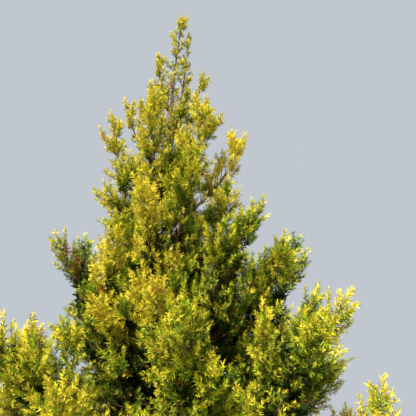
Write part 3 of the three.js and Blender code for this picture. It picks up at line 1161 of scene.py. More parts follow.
@dataclass(frozen=True)
class PlumeGrowth:
    """Grows the foliage of a plume: on its blades, on finer twigs between them, and inside.

    The foliage inside is a dark lining of painted shade.
    """

    branching: Branching
    rule: GrowthRule = GrowthRule()
    # The mean radius of a plume over its girth
    body: float = 0.7
    # The wood of the stem and of the rule's own twigs
    stem_points: int = 9
    stem_sides: int = 7
    twig_radii: Span = (0.005, 0.0025)
    twig_sides: int = 4
    # The branches of a blade: one along it, and pairs to its sides that shorten to its tip
    blade_share: float = 0.98
    side_places: tuple[float, ...] = (0.16, 0.3, 0.44, 0.58, 0.72)
    side_share: float = 0.5
    side_loss: float = 0.38
    side_leans: Span = (0.72, 0.5)
    side_tilt: float = 0.42
    side_spread: Span = (0.85, 1.12)
    least_side: float = 0.035
    # The finer twigs, from the foot of the stem to its tip, and what stands in for them
    least_twigs: int = 20
    place_spread: float = 0.4
    first_place: float = 0.03
    angles: Span = (68, 28)
    angle_spread: float = 7
    least_girths: Span = (0.85, 0.4)
    twig_fits: tuple[float, ...] = (1.0, 0.85, 0.7, 0.55, 0.42, 0.3)
    spare_lift: float = 0.05
    spare_lengths: Span = (0.1, 0.18)
    # One finer twig, the branch at its end and the two on its sides
    fine_radii: Span = (0.0032, 0.0014)
    fine_sides: int = 3
    end_share: float = 0.66
    end_lengths: Span = (0.06, 0.24)
    end_sunk: float = 0.8
    fork_places: Span = (0.42, 0.66)
    fork_angle: float = 40
    fork_roll: float = 30
    fork_lift: float = 0.3
    fork_spread: Span = (0.6, 0.85)
    # The dark lining of painted shade, in plumes of this girth or more
    lined_girth: float = 0.28
    lined: Span = (0.1, 0.85)
    lining_per_area: float = 220.0
    lining_radii: Span = (0.05, 0.42)
    lining_narrowing: int = 3
    lining_out: float = 0.8
    lining_on: float = 0.5
    lining_up: float = 0.4
    lining_way_spread: float = 0.25
    lining_length: float = 0.19
    lining_spread: Span = (0.8, 1.3)

    def grow(self, plume: Plume) -> None:
        """Grow the foliage of one plume.

        Args:
            plume: The plume.
        """
        crown, wood = self.branching.crown, self.branching.tiers[plume.tier].wood
        space = crown.space_of(plume)
        site = Site(plume, space, np.random.default_rng(FIRST_SEED + plume.index))
        twigs, blades = self.rule.grow(plume, space)
        places = np.linspace(0, 1, self.stem_points)
        radii = blend(plume.enter_radius, STEM_TIP_RADIUS, places)
        wood.add(plume.inner.points(places), radii, self.stem_sides)
        for twig in twigs:
            wood.add(np.array(twig), np.array(self.twig_radii), self.twig_sides)
        for blade in blades:
            self._dress_blade(site, blade)
        self._fill(site, space)
        self._line_inside_with_painted_shade(site)

    def _dress_blade(self, site: Site, blade: Blade) -> None:
        """Grow the branches that fill one blade's outline.

        Args:
            site: Where they grow.
            blade: The blade.
        """
        add_branch, rng = self.branching.add_branch, site.rng
        normal, across = blade.frame()
        add_branch(site, blade.root, blade.direction, blade.length * self.blade_share)
        for place in self.side_places:
            start = blade.root + blade.direction * blade.length * place
            length = blade.length * (self.side_share - self.side_loss * place)
            for side in (-1, 1):
                lean = across * side * blend(*self.side_leans, place)
                tilt = rng.uniform(-self.side_tilt, self.side_tilt)
                way = unit(blade.direction + lean + normal * tilt)
                if length > self.least_side:
                    add_branch(site, start, way, length * rng.uniform(*self.side_spread))

    def _fill(self, site: Site, space: Space) -> None:
        """Grow finer twigs with fronds between the blades, all round a plume's stem.

        Where a twig has no room, a short spare branch stands in its place.

        Args:
            site: Where they grow.
            space: The space that the twigs keep to.
        """
        plume, rng, habit = site.plume, site.rng, HABITS[site.plume.tier]
        spare = Site(plume, OpenSpace(), rng)
        area = plume.surface(plume.stem, self.body)
        count = max(self.least_twigs, round(area * habit.twigs_per_area))
        first_roll = rng.uniform(0, FULL_TURN)
        for k in range(count):
            jitter = rng.uniform(-self.place_spread, self.place_spread)
            along = float(np.clip((k + jitter) / (count - 1), self.first_place, 1.0))
            foot = plume.inner.point(along)
            tangent = plume.inner.tangent(along)
            angle = blend(*self.angles, along) + rng.normal(0, self.angle_spread)
            roll = first_roll + k * GOLDEN_ANGLE
            way = leaving(tangent, angle, roll)
            radius = plume.girth * max(plume_profile(along), blend(*self.least_girths, along))
            reach = radius * rng.uniform(*habit.twig_reaches)
            fit = space.first_fit(foot, way * reach, self.twig_fits)
            if fit is None:
                way = leaving(tangent, angle, roll, self.spare_lift)
                length = min(reach, rng.uniform(*self.spare_lengths))
                self.branching.add_branch(spare, foot, way, length)
            else:
                self._add_twig(site, foot, way, reach * fit)

    def _add_twig(self, site: Site, foot: np.ndarray, way: np.ndarray, reach: float) -> None:
        """Grow one fine twig, the branch that it ends in and the branches along it.

        Args:
            site: Where it grows.
            foot: Where it starts.
            way: Its direction.
            reach: Its length.
        """
        add_branch, rng = self.branching.add_branch, site.rng
        tip = foot + way * reach
        wood = self.branching.tiers[site.plume.tier].wood
        wood.add(np.array((foot, tip)), np.array(self.fine_radii), self.fine_sides)
        length = float(np.clip(reach * self.end_share, *self.end_lengths))
        add_branch(site, tip - way * length * self.end_sunk, way, length)
        roll = rng.uniform(0, FULL_TURN)
        for i, place in enumerate(self.fork_places):
            turn = roll + FULL_TURN / 2 * i + rng.uniform(-self.fork_roll, self.fork_roll)
            side = leaving(way, self.fork_angle, turn, self.fork_lift)
            start = foot + way * reach * place
            add_branch(site, start, side, length * rng.uniform(*self.fork_spread))

    def _line_inside_with_painted_shade(self, site: Site) -> None:
        """Set coarse sprigs of painted shade round a plume's stem, which close the view through it.

        Args:
            site: Where they grow.
        """
        plume, rng = site.plume, site.rng
        if plume.girth < self.lined_girth:
            return
        run = plume.curve.part(*self.lined)
        count = round(plume.surface(run, self.body) * self.lining_per_area)
        alongs = rng.uniform(0, 1, count)
        axis = run.points(alongs)
        tangents = np.array([run.tangent(t) for t in alongs])
        outward = rng.normal(0, 1, (count, 3))
        outward = unit(outward - (outward * tangents).sum(-1, keepdims=True) * tangents)
        far = plume.girth * rng.uniform(*self.lining_radii, count)
        roots = axis + outward * (far * (1 - alongs**self.lining_narrowing))[:, None]
        spread = rng.normal(0, self.lining_way_spread, (count, 3))
        ways = outward * self.lining_out + tangents * self.lining_on + UP * self.lining_up
        kept = site.space.holds(roots) & ~self.branching.crown.touches(roots)
        lengths = plume.girth * self.lining_length * rng.uniform(*self.lining_spread, count)
        faces = rng.normal(0, 1, (int(kept.sum()), 3))
        sprigs = Sprigs(roots[kept], unit(ways + spread)[kept], faces, lengths[kept])
        self.branching.tiers[plume.tier].add(sprigs, np.full(len(faces), SHADE_LIGHT))


@dataclass(frozen=True)
class HeartTier:
    """The part of the trunk's lined height that a tier takes, and its number of thin branches."""

    share: Span
    branches: int


@dataclass(frozen=True)
class HeartGrowth:
    """Grows what closes the heart of the crown, on the two leaders and the trunk, with painted
    shade.
    """

    TIERS = {
        Tier.LOW: HeartTier((0, 0.42), 260),
        Tier.MIDDLE: HeartTier((0.42, 0.7), 120),
        Tier.UPPER: HeartTier((0.7, 1), 40),
    }

    branching: Branching
    # The short branches on the leaders, by height on the first and by place on the second
    clothed: Span = (2.7, 4.06)
    clothed_step: float = 0.022
    second_from: float = 0.1
    second_count: int = 14
    clothed_angles: Span = (36, 58)
    clothed_roll: float = 20
    clothed_lift: float = 0.2
    clothed_lengths: Span = (0.09, 0.2)
    # The heights of the heart, and how far it reaches out at its foot and at its top
    lined: Span = (0.55, 3.1)
    reaches: Span = (0.46, 0.15)
    way_spread: float = 0.3
    # The dark lining of painted shade in each tier, with places and lengths over that reach
    lining_count: int = 700
    lining_places: Span = (0.25, 1)
    lining_lift: float = 0.6
    lining_lengths: Span = (0.22, 0.36)
    # The thin branches and the fronds that they end in
    branch_places: Span = (0.75, 1.8)
    branch_rise: float = 0.5
    branch_radius: float = 0.003
    frond_lengths: Span = (0.12, 0.2)
    side_count: int = 4
    side_angle: float = 44
    side_shares: Span = (0.6, 0.85)
    frond_lights: Span = (0.05, 0.35)
    frond_lightening: float = 0.3

    def grow(self) -> None:
        """Grow the leaders' short branches, and the trunk's lining of painted shade and thin
        branches.
        """
        self._clothe_leaders()
        self._line_trunk_with_painted_shade()
        self._branch_trunk()

    def _reach(self, heights: Number) -> Number:
        """Return how far the heart reaches out from the trunk at a height, or at each of a row."""
        low, high = self.lined
        return blend(*self.reaches, (heights - low) / (high - low))

    def _bounds(self, part: HeartTier) -> Span:
        """Return the lowest and the highest point of a tier's part of the trunk."""
        low, high = part.share
        return blend(*self.lined, low), blend(*self.lined, high)

    def _clothe_leaders(self) -> None:
        """Set short branches on the bare lengths of the two leaders, high in the crown."""
        crown = self.branching.crown
        trunk, apex = crown.trunk, crown.plumes[-1]
        second = next(plume for plume in crown.plumes if plume.name == "second_leader")
        rng = np.random.default_rng(FIRST_SEED)
        site = Site(apex, OpenSpace(), rng)
        heights = np.arange(*self.clothed, self.clothed_step)
        feet = [(trunk.axis(z), UP, trunk.radius_at(z)) for z in heights]
        bare = second.curve.part(self.second_from, second.enter)
        places = np.linspace(0, 1, self.second_count)
        feet += [(bare.point(t), bare.tangent(t), second.foot_radius) for t in places]
        for k, (point, along, radius) in enumerate(feet):
            angle = rng.uniform(*self.clothed_angles)
            roll = k * GOLDEN_ANGLE + rng.uniform(-self.clothed_roll, self.clothed_roll)
            way = leaving(along, angle, roll, self.clothed_lift)
            flat = unit(way - np.dot(way, along) * along)
            length = rng.uniform(*self.clothed_lengths)
            self.branching.add_branch(site, point + flat * radius, way, length)

    def _line_trunk_with_painted_shade(self) -> None:
        """Set coarse sprigs of painted shade round the trunk, to close the view between the plumes.
        """
        rng = np.random.default_rng(FIRST_SEED - 1)
        crown, count = self.branching.crown, self.lining_count
        for tier, part in self.TIERS.items():
            heights = rng.uniform(*self._bounds(part), count)
            turns = rng.uniform(0, 2 * math.pi, count)
            reach = self._reach(heights)
            far = reach * rng.uniform(*self.lining_places, count)
            outward = np.stack((np.cos(turns), np.sin(turns), np.zeros(count)), axis=1)
            roots = crown.trunk.axes(heights) + outward * far[:, None]
            spread = rng.normal(0, self.way_spread, roots.shape)
            ways = unit(outward + UP * self.lining_lift + spread)
            lengths = reach * rng.uniform(*self.lining_lengths, count)
            faces = rng.normal(0, 1, roots.shape)
            kept = ~crown.touches(roots)
            sprigs = Sprigs(roots, ways, faces, lengths).chosen(kept)
            self.branching.tiers[tier].add(sprigs, np.full(len(sprigs.roots), SHADE_LIGHT))

    def _branch_trunk(self) -> None:
        """Grow thin branches from the trunk, whose green fronds show between the plumes."""
        rng = np.random.default_rng(FIRST_SEED - 2)
        trunk = self.branching.crown.trunk
        for tier, part in self.TIERS.items():
            for _ in range(part.branches):
                height = rng.uniform(*self._bounds(part))
                turn = rng.uniform(0, 2 * math.pi)
                far = self._reach(height) * rng.uniform(*self.branch_places)
                outward = np.array((math.cos(turn), math.sin(turn), 0.0))
                foot = trunk.axis(height - far * self.branch_rise)
                root = trunk.axis(height) + outward * far
                way = unit(outward + UP + rng.normal(0, self.way_spread, 3))
                length = rng.uniform(*self.frond_lengths)
                self.branching.tiers[tier].wood.add_spike(foot, root, self.branch_radius)
                self._add_fronds(tier, root, way, length, rng)

    def _add_fronds(
        self,
        tier: Tier,
        root: np.ndarray,
        way: np.ndarray,
        length: float,
        rng: np.random.Generator,
    ) -> None:
        """End a thin branch of the trunk in a few fronds.

        Args:
            tier: The tier that they belong to.
            root: Where they start.
            way: The direction of the middle one.
            length: The length of the middle one.
            rng: What their chances are drawn from.
        """
        frond, harvest = self.branching.frond, self.branching.tiers[tier]
        roll = rng.uniform(0, FULL_TURN)
        rolls = [roll + k * GOLDEN_ANGLE for k in range(self.side_count)]
        ways = [way] + [leaving(way, self.side_angle, turn) for turn in rolls]
        own = rng.uniform(*self.frond_lights)
        for k, side in enumerate(ways):
            size = length * (1.0 if k == 0 else rng.uniform(*self.side_shares))
            sprigs, places = frond.grow(root, side, size, HABITS[tier].sprig_scale, rng)
            harvest.wood.add_spike(root, sprigs.roots[-1], frond.rib(size))
            kept = ~self.branching.crown.touches(sprigs.roots)
            lights = own + self.frond_lightening * places
            harvest.add(sprigs.chosen(kept), lights[kept])


@dataclass(frozen=True)
class ToneScale:
    """Which tone a sprig takes by its lightness: that of the first limit above it."""

    LIMITS = (
        (-1.0, Tone.SHADE),
        (0.2, Tone.DEEP),
        (0.36, Tone.GREEN),
        (0.52, Tone.LIME),
        (0.7, Tone.LEMON),
        (9.0, Tone.GOLD),
        (math.inf, Tone.BRONZE),
    )

    scatter: float = 0.14
    seed: int = 7

    def deal(self, lights: np.ndarray) -> dict[Tone, np.ndarray]:
        """Deal sprigs out to the tones.

        Args:
            lights: The lightness of each sprig.

        Returns:
            For each tone, the numbers of its sprigs.
        """
        rng = np.random.default_rng(self.seed)
        values = lights + rng.normal(0, self.scatter, len(lights))
        dealt = {}
        low = -math.inf
        for high, tone in self.LIMITS:
            dealt[tone] = np.flatnonzero((values >= low) & (values < high))
            low = high
        return dealt


Feed = float | tuple[float, ...] | bpy.types.NodeSocket
SURFACE = {
    "Colour": "NodeSocketColor",
    "Roughness": "NodeSocketFloat",
    "Normal": "NodeSocketVector",
}


def feed(tree: bpy.types.NodeTree, node: bpy.types.Node, inputs: dict[str, Feed]) -> None:
    """Feed the inputs of a node.

    Args:
        tree: The tree that holds the node.
        node: The node.
        inputs: For each input its value, or the output that is linked to it.
    """
    for name, source in inputs.items():
        if isinstance(source, bpy.types.NodeSocket):
            tree.links.new(source, node.inputs[name])
        else:
            node.inputs[name].default_value = source


def add_node(tree: bpy.types.NodeTree, kind: str, inputs: dict[str, Feed]) -> bpy.types.Node:
    """Add a node to a tree and feed its inputs.

    Args:
        tree: The tree.
        kind: The node's kind.
        inputs: For each input its value, or the output that is linked to it.

    Returns:
        The new node.
    """
    node = tree.nodes.new(kind)
    feed(tree, node, inputs)
    return node


def mix_colours(
    tree: bpy.types.NodeTree, inputs: dict[str, Feed], way: str = "MIX"
) -> bpy.types.NodeSocket:
    """Mix two colours.

    Args:
        tree: The tree that the mix is added to.
        inputs: The factor and the two colours, by the names of the inputs.
        way: The kind of mixing.

    Returns:
        The mixed colour.
    """
    mix = tree.nodes.new("ShaderNodeMix")
    mix.data_type = "RGBA"
    mix.blend_type = way
    feed(tree, mix, inputs)
    return mix.outputs["Result"]


def new_surface(
    name: str, inputs: dict[str, str]
) -> tuple[bpy.types.ShaderNodeTree, bpy.types.Node, bpy.types.Node, bpy.types.NodeSocket]:
    """Make an empty shader group with a surface's outputs.

    Args:
        name: The group's name.
        inputs: The kind of socket of each input.

    Returns:
        The group, the nodes of its inputs and its outputs, and the place on the object.
    """
    group = bpy.data.node_groups.new(name, "ShaderNodeTree")
    for side, sockets in (("INPUT", inputs), ("OUTPUT", SURFACE)):
        for label, kind in sockets.items():
            group.interface.new_socket(label, in_out=side, socket_type=kind)
    start, end = group.nodes.new("NodeGroupInput"), group.nodes.new("NodeGroupOutput")
    return group, start, end, add_node(group, "ShaderNodeTexCoord", {}).outputs["Object"]


def shoot_surface() -> bpy.types.ShaderNodeTree:
    """Build the surface of the shoots: patches of older growth, and fine scales.

    Returns:
        The group, with a varying colour, roughness and normal.
    """
    sockets = {"Young": "NodeSocketColor", "Older": "NodeSocketColor"}
    group, start, end, place = new_surface("shoot surface", sockets)
    noise = {"Vector": place, "Scale": 26.0, "Detail": 2.0}
    patches = add_node(group, "ShaderNodeTexNoise", noise).outputs["Fac"]
    cells = {"Vector": place, "Scale": 420.0}
    scales = add_node(group, "ShaderNodeTexVoronoi", cells).outputs["Distance"]
    limits = {"Value": patches, "From Min": 0.36, "From Max": 0.64}
    share = add_node(group, "ShaderNodeMapRange", limits).outputs["Result"]
    colours = {"Factor": share, "A": start.outputs["Older"], "B": start.outputs["Young"]}
    colour = mix_colours(group, colours)
    gloss = add_node(
        group, "ShaderNodeMapRange", {"Value": patches, "To Min": 0.72, "To Max": 0.5}
    ).outputs["Result"]
    relief = {"Height": scales, "Strength": 0.35, "Distance": 0.001}
    normal = add_node(group, "ShaderNodeBump", relief).outputs["Normal"]
    feed(group, end, {"Colour": colour, "Roughness": gloss, "Normal": normal})
    return group


def bark_surface() -> bpy.types.ShaderNodeTree:
    """Build the surface of the wood: long fibrous ridges with darker grooves between.

    Returns:
        The group, with a varying colour, roughness and normal.
    """
    sockets = {
        "Ridge": "NodeSocketColor",
        "Groove": "NodeSocketColor",
        "Scale": "NodeSocketFloat",
        "Relief": "NodeSocketFloat",
    }
    group, start, end, place = new_surface("fibrous bark", sockets)
    squeeze = {"Vector": place, "Scale": (1.0, 1.0, 0.14)}
    drawn_out = add_node(group, "ShaderNodeMapping", squeeze).outputs["Vector"]
    noise = {"Vector": drawn_out, "Scale": start.outputs["Scale"], "Detail": 5.0, "Roughness": 0.62}
    fibres = add_node(group, "ShaderNodeTexNoise", noise).outputs["Fac"]
    cloudy = {"Vector": place, "Scale": 9.0}
    blotches = add_node(group, "ShaderNodeTexNoise", cloudy).outputs["Fac"]
    limits = {"Value": fibres, "From Min": 0.38, "From Max": 0.6}
    ridges = add_node(group, "ShaderNodeMapRange", limits).outputs["Result"]
    colours = {"Factor": ridges, "A": start.outputs["Groove"], "B": start.outputs["Ridge"]}
    clean = mix_colours(group, colours)
    colour = mix_colours(group, {"Factor": 0.5, "A": clean, "B": blotches}, "MULTIPLY")
    dull = add_node(
        group, "ShaderNodeMapRange", {"Value": ridges, "To Min": 0.97, "To Max": 0.8}
    ).outputs["Result"]
    relief = {"Height": fibres, "Strength": start.outputs["Relief"], "Distance": 0.006}
    normal = add_node(group, "ShaderNodeBump", relief).outputs["Normal"]
    feed(group, end, {"Colour": colour, "Roughness": dull, "Normal": normal})
    return group


def surface_material(
    name: str, group: bpy.types.ShaderNodeTree, inputs: dict[str, Feed], shine: float
) -> bpy.types.Material:
    """Make a material from a surface.

    Args:
        name: The material's name.
        group: The surface's shader group.
        inputs: The values of its inputs.
        shine: How strongly it mirrors light.

    Returns:
        The new material.
    """
    material = bpy.data.materials.new(name)
    material.use_nodes = True
    tree = material.node_tree
    surface = tree.nodes.new("ShaderNodeGroup")
    surface.node_tree = group
    feed(tree, surface, inputs)
    shader = {
        "Base Color": surface.outputs["Colour"],
        "Roughness": surface.outputs["Roughness"],
        "Normal": surface.outputs["Normal"],
        "Specular IOR Level": shine,
    }
    feed(tree, tree.nodes["Principled BSDF"], shader)
    return material


@dataclass(frozen=True)
class ShootFinish:
    """The finish of the shoots of one tone: a young and an older shade of it, waxy and matt."""

    tone: Tone
    young: Colour
    older: Colour
    shine: float = 0.1

    def material(self, group: bpy.types.ShaderNodeTree) -> bpy.types.Material:
        """Return the finish's material, made from the surface of shoots."""
        inputs = {"Young": (*self.young, 1.0), "Older": (*self.older, 1.0)}
        return surface_material(f"shoots {self.tone.value}", group, inputs, self.shine)


SHOOT_FINISHES = (
    ShootFinish(Tone.GOLD, (0.75, 0.61, 0.048), (0.56, 0.49, 0.028)),
    ShootFinish(Tone.LEMON, (0.57, 0.52, 0.022), (0.42, 0.41, 0.015)),
    ShootFinish(Tone.LIME, (0.31, 0.385, 0.016), (0.185, 0.27, 0.01)),
    ShootFinish(Tone.GREEN, (0.13, 0.2, 0.01), (0.075, 0.13, 0.007)),
    ShootFinish(Tone.DEEP, (0.045, 0.085, 0.006), (0.024, 0.05, 0.004)),
    # Painted shade: near-black sprigs that stand for the shadow inside the crown
    ShootFinish(Tone.SHADE, (0.02, 0.034, 0.004), (0.01, 0.019, 0.002)),
    ShootFinish(Tone.BRONZE, (0.34, 0.15, 0.025), (0.2, 0.085, 0.015)),
)


@dataclass(frozen=True)
class BarkFinish:
    """The finish of wood: fibrous ridges and grooves that run along it."""

    name: str
    ridge: Colour
    groove: Colour
    scale: float
    relief: float
    shine: float = 0.2

    def material(self, group: bpy.types.ShaderNodeTree) -> bpy.types.Material:
        """Build the material.

        Args:
            group: The surface that all wood shares.

        Returns:
            The new material.
        """
        inputs = {
            "Ridge": (*self.ridge, 1.0),
            "Groove": (*self.groove, 1.0),
            "Scale": self.scale,
            "Relief": self.relief,
        }
        return surface_material(self.name, group, inputs, self.shine)


OLD_BARK = BarkFinish("old bark", (0.235, 0.145, 0.095), (0.062, 0.035, 0.022), 60.0, 0.9)
YOUNG_BARK = BarkFinish("young bark", (0.27, 0.135, 0.065), (0.13, 0.07, 0.03), 140.0, 0.4)


class Finishes:
    """The materials of the tree, each made once."""

    def __init__(self) -> None:
        """Make the two surfaces and the materials that share them."""
        shoots, bark = shoot_surface(), bark_surface()
        self.shoots = {finish.tone: finish.material(shoots) for finish in SHOOT_FINISHES}
        self.old_bark = OLD_BARK.material(bark)
        self.young_bark = YOUNG_BARK.material(bark)


def deselect_all() -> None:
    """Leave nothing selected in object mode."""
    if bpy.context.object and bpy.context.object.mode != "OBJECT":
        bpy.ops.object.mode_set(mode="OBJECT")
    bpy.ops.object.select_all(action="DESELECT")


def select_points(piece: bpy.types.Object, numbers: Iterable[int]) -> None:
    """Select some points of a piece in edit mode, and nothing else.

    Args:
        piece: The piece.
        numbers: The numbers of the points.
    """
    form = bmesh.from_edit_mesh(piece.data)
    for vertex in form.verts:
        vertex.select = vertex.index in numbers
    form.select_flush_mode()
    bmesh.update_edit_mesh(piece.data)


def close_and_turn_out(piece: bpy.types.Object) -> None:
    """Merge a piece's doubles and turn its faces outwards.

    Args:
        piece: The piece.
    """
    bpy.context.view_layer.objects.active = piece
    bpy.ops.object.mode_set(mode="EDIT")
    bpy.ops.mesh.select_all(action="SELECT")
    bpy.ops.mesh.remove_doubles(threshold=MERGE_DISTANCE)
    bpy.ops.mesh.normals_make_consistent(inside=False)
    bpy.ops.object.mode_set(mode="OBJECT")


def mesh_piece(name: str, points: np.ndarray, faces: np.ndarray) -> bpy.types.Object:
    """Make an object of triangles from arrays.

    Args:
        name: The piece's name.
        points: The points, one in each row.
        faces: The triangles, as three numbers of points each.

    Returns:
        The new object, linked to the scene.
    """
    mesh = bpy.data.meshes.new(name)
    mesh.vertices.add(len(points))
    mesh.vertices.foreach_set("co", points.astype(np.float32).ravel())
    mesh.loops.add(faces.size)
    mesh.loops.foreach_set("vertex_index", faces.astype(np.int32).ravel())
    mesh.polygons.add(len(faces))
    mesh.polygons.foreach_set("loop_start", np.arange(0, faces.size, 3, dtype=np.int32))
    mesh.update(calc_edges=True)
    piece = bpy.data.objects.new(name, mesh)
    bpy.context.collection.objects.link(piece)
    return piece


def hand_over(
    piece: bpy.types.Object, material: bpy.types.Material, nodes: list[str]
) -> None:
    """Dress a piece and tell the frame what it rides on and stands for.

    Args:
        piece: The finished piece.
        material: Its material.
        nodes: The solids that it stands for.
    """
    piece.data.materials.clear()
    piece.data.materials.append(material)
    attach(piece, "root")
    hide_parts(*nodes)
    piece.data.calc_loop_triangles()
    LOG.info("%s: %d triangles", piece.name, len(piece.data.loop_triangles))


@dataclass(frozen=True)
class Relief:
    """A bark's relief: how often faces are divided for it, and how large and deep its lumps are."""

    name: str
    levels: int
    grain: float
    depth: float
    detail: int = 3

    def press_into(self, piece: bpy.types.Object) -> None:
        """Roughen a piece with the relief.

        Args:
            piece: The piece.
        """
        divide = piece.modifiers.new("divide", "SUBSURF")
        divide.subdivision_type = "SIMPLE"
        divide.levels = self.levels
        divide.render_levels = self.levels
        pattern = bpy.data.textures.new(self.name, "CLOUDS")
        pattern.noise_scale = self.grain
        pattern.noise_depth = self.detail
        push = piece.modifiers.new("relief", "DISPLACE")
        push.texture = pattern
        push.texture_coords = "LOCAL"
        push.strength = self.depth
        push.mid_level = 0.5
        bpy.context.view_layer.objects.active = piece
        for modifier in list(piece.modifiers):
            bpy.ops.object.modifier_apply(modifier=modifier.name)


@dataclass(frozen=True)
class Trunk:
    """The trunk from its flared foot to the leader, with a bark's relief.

    Its rings have lobes up to so many times the height of its flare, and what the relief moves
    within the height of its foot is laid flat again.
    """

    shape: TrunkShape
    sides: int = 30
    steps: int = 26
    flare_heights: int = 5
    foot_height: float = 0.005
    relief: Relief = Relief("trunk lumps", 2, 0.022, 0.007)

    def build(self, finishes: Finishes) -> None:
        """Model the trunk and dress it.

        Args:
            finishes: The materials.
        """
        trunk = self._draw_up()
        close_and_turn_out(trunk)
        self.relief.press_into(trunk)
        self._flatten_foot(trunk)
        bpy.ops.object.shade_smooth()
        hand_over(trunk, finishes.old_bark, ["trunk"])

    def _draw_up(self) -> bpy.types.Object:
        """Draw a circle up ring by ring, each with its lobes.

        Returns:
            The smooth trunk.
        """
        shape = self.shape
        deselect_all()
        bpy.ops.mesh.primitive_circle_add(
            vertices=self.sides, radius=shape.radius_at(0), fill_type="NGON", location=(0, 0, 0)
        )
        trunk = bpy.context.object
        trunk.name = "trunk_bark"
        bpy.ops.object.mode_set(mode="EDIT")
        self._press_lobes(trunk, 0.0, None)
        heights = shape.heights(self.steps)
        for low, high in zip(heights, heights[1:]):
            centre = Vector(shape.axis(high))
            step = centre - Vector(shape.axis(low))
            bpy.ops.mesh.extrude_region_move(TRANSFORM_OT_translate={"value": step})
            grow = shape.radius_at(high) / shape.radius_at(low)
            bpy.ops.transform.resize(value=(grow, grow, 1), center_override=centre)
            if high < shape.flare_height * self.flare_heights:
                self._press_lobes(trunk, high, low)
        bpy.ops.object.mode_set(mode="OBJECT")
        return trunk

    def _press_lobes(self, trunk: bpy.types.Object, height: float, below: float | None) -> None:
        """Draw the selected ring out and in to the lobes of the foot.

        Args:
            trunk: The trunk's object, in edit mode.
            height: The ring's height.
            below: The height of the ring that it was drawn up from, if there is one.
        """
        centre = Vector(self.shape.axis(height))
        per_lobe = self.sides // self.shape.lobes
        phases = {}
        form = bmesh.from_edit_mesh(trunk.data)
        for vertex in form.verts:
            if vertex.select:
                turn = math.atan2(vertex.co.y - centre.y, vertex.co.x - centre.x) / (2 * math.pi)
                phases[vertex.index] = round(turn * self.sides) % per_lobe
        for phase in range(per_lobe):
            select_points(trunk, {number for number, own in phases.items() if own == phase})
            grow = self.shape.lobe_at(height, phase / per_lobe)
            if below is not None:
                grow /= self.shape.lobe_at(below, phase / per_lobe)
            bpy.ops.transform.resize(value=(grow, grow, 1), center_override=centre)
        select_points(trunk, phases.keys())

    def _flatten_foot(self, trunk: bpy.types.Object) -> None:
        """Lay the trunk's foot flat on the ground.

        Args:
            trunk: The trunk's object.
        """
        bpy.ops.object.mode_set(mode="EDIT")
        form = bmesh.from_edit_mesh(trunk.data)
        low = {point.index for point in form.verts if point.co.z < self.foot_height}
        select_points(trunk, low)
        bpy.ops.transform.resize(value=(1, 1, 0), center_override=(0, 0, 0))
        bpy.ops.object.mode_set(mode="OBJECT")


@dataclass(frozen=True)
class Boughs:
    """The bare boughs from the trunk to their plumes, each with a collar at its foot."""

    crown: Crown
    sides: int = 9
    steps: int = 7
    first_place: float = 0.02
    collar: float = 0.45
    collar_length: float = 0.14
    relief: Relief = Relief("bough lumps", 1, 0.014, 0.0028)

    def build(self, finishes: Finishes) -> None:
        """Model every bough, join them and dress them.

        Args:
            finishes: The materials.
        """
        plumes = [plume for plume in self.crown.plumes if plume.is_bough]
        pieces = [self._bough(plume) for plume in plumes]
        deselect_all()
        for piece in pieces:
            piece.select_set(True)
        bpy.context.view_layer.objects.active = pieces[0]
        bpy.ops.object.join()
        boughs = bpy.context.object
        boughs.name = "boughs_bark"
        self.relief.press_into(boughs)
        bpy.ops.object.shade_smooth()
        hand_over(boughs, finishes.old_bark, [f"bough_{plume.name}" for plume in plumes])

    def _bough(self, plume: Plume) -> bpy.types.Object:
        """Model one bough: a circle drawn out along its run.

        Args:
            plume: The plume that the bough carries.

        Returns:
            The bough's object.
        """
        places = np.linspace(self.first_place, 1.0, self.steps + 1)
        points = [Vector(point) for point in plume.curve.part(0.0, plume.enter).points(places)]
        swell = [1 + self.collar * math.exp(-t / self.collar_length) for t in places]
        radii = [blend(plume.foot_radius, plume.enter_radius, t) * s for t, s in zip(places, swell)]
        facing = (points[-1] - points[0]).to_track_quat("Z", "Y").to_euler()
        deselect_all()
        bpy.ops.mesh.primitive_circle_add(
            vertices=self.sides,
            radius=radii[0],
            fill_type="NGON",
            location=points[0],
            rotation=facing,
        )
        bough = bpy.context.object
        bpy.ops.object.transform_apply(location=True, rotation=True, scale=True)
        bpy.ops.object.mode_set(mode="EDIT")
        for i in range(self.steps):
            step = points[i + 1] - points[i]
            grow = radii[i + 1] / radii[i]
            bpy.ops.mesh.extrude_region_move(TRANSFORM_OT_translate={"value": step})
            bpy.ops.transform.resize(value=(grow, grow, grow), center_override=points[i + 1])
        bpy.ops.object.mode_set(mode="OBJECT")
        close_and_turn_out(bough)
        return bough


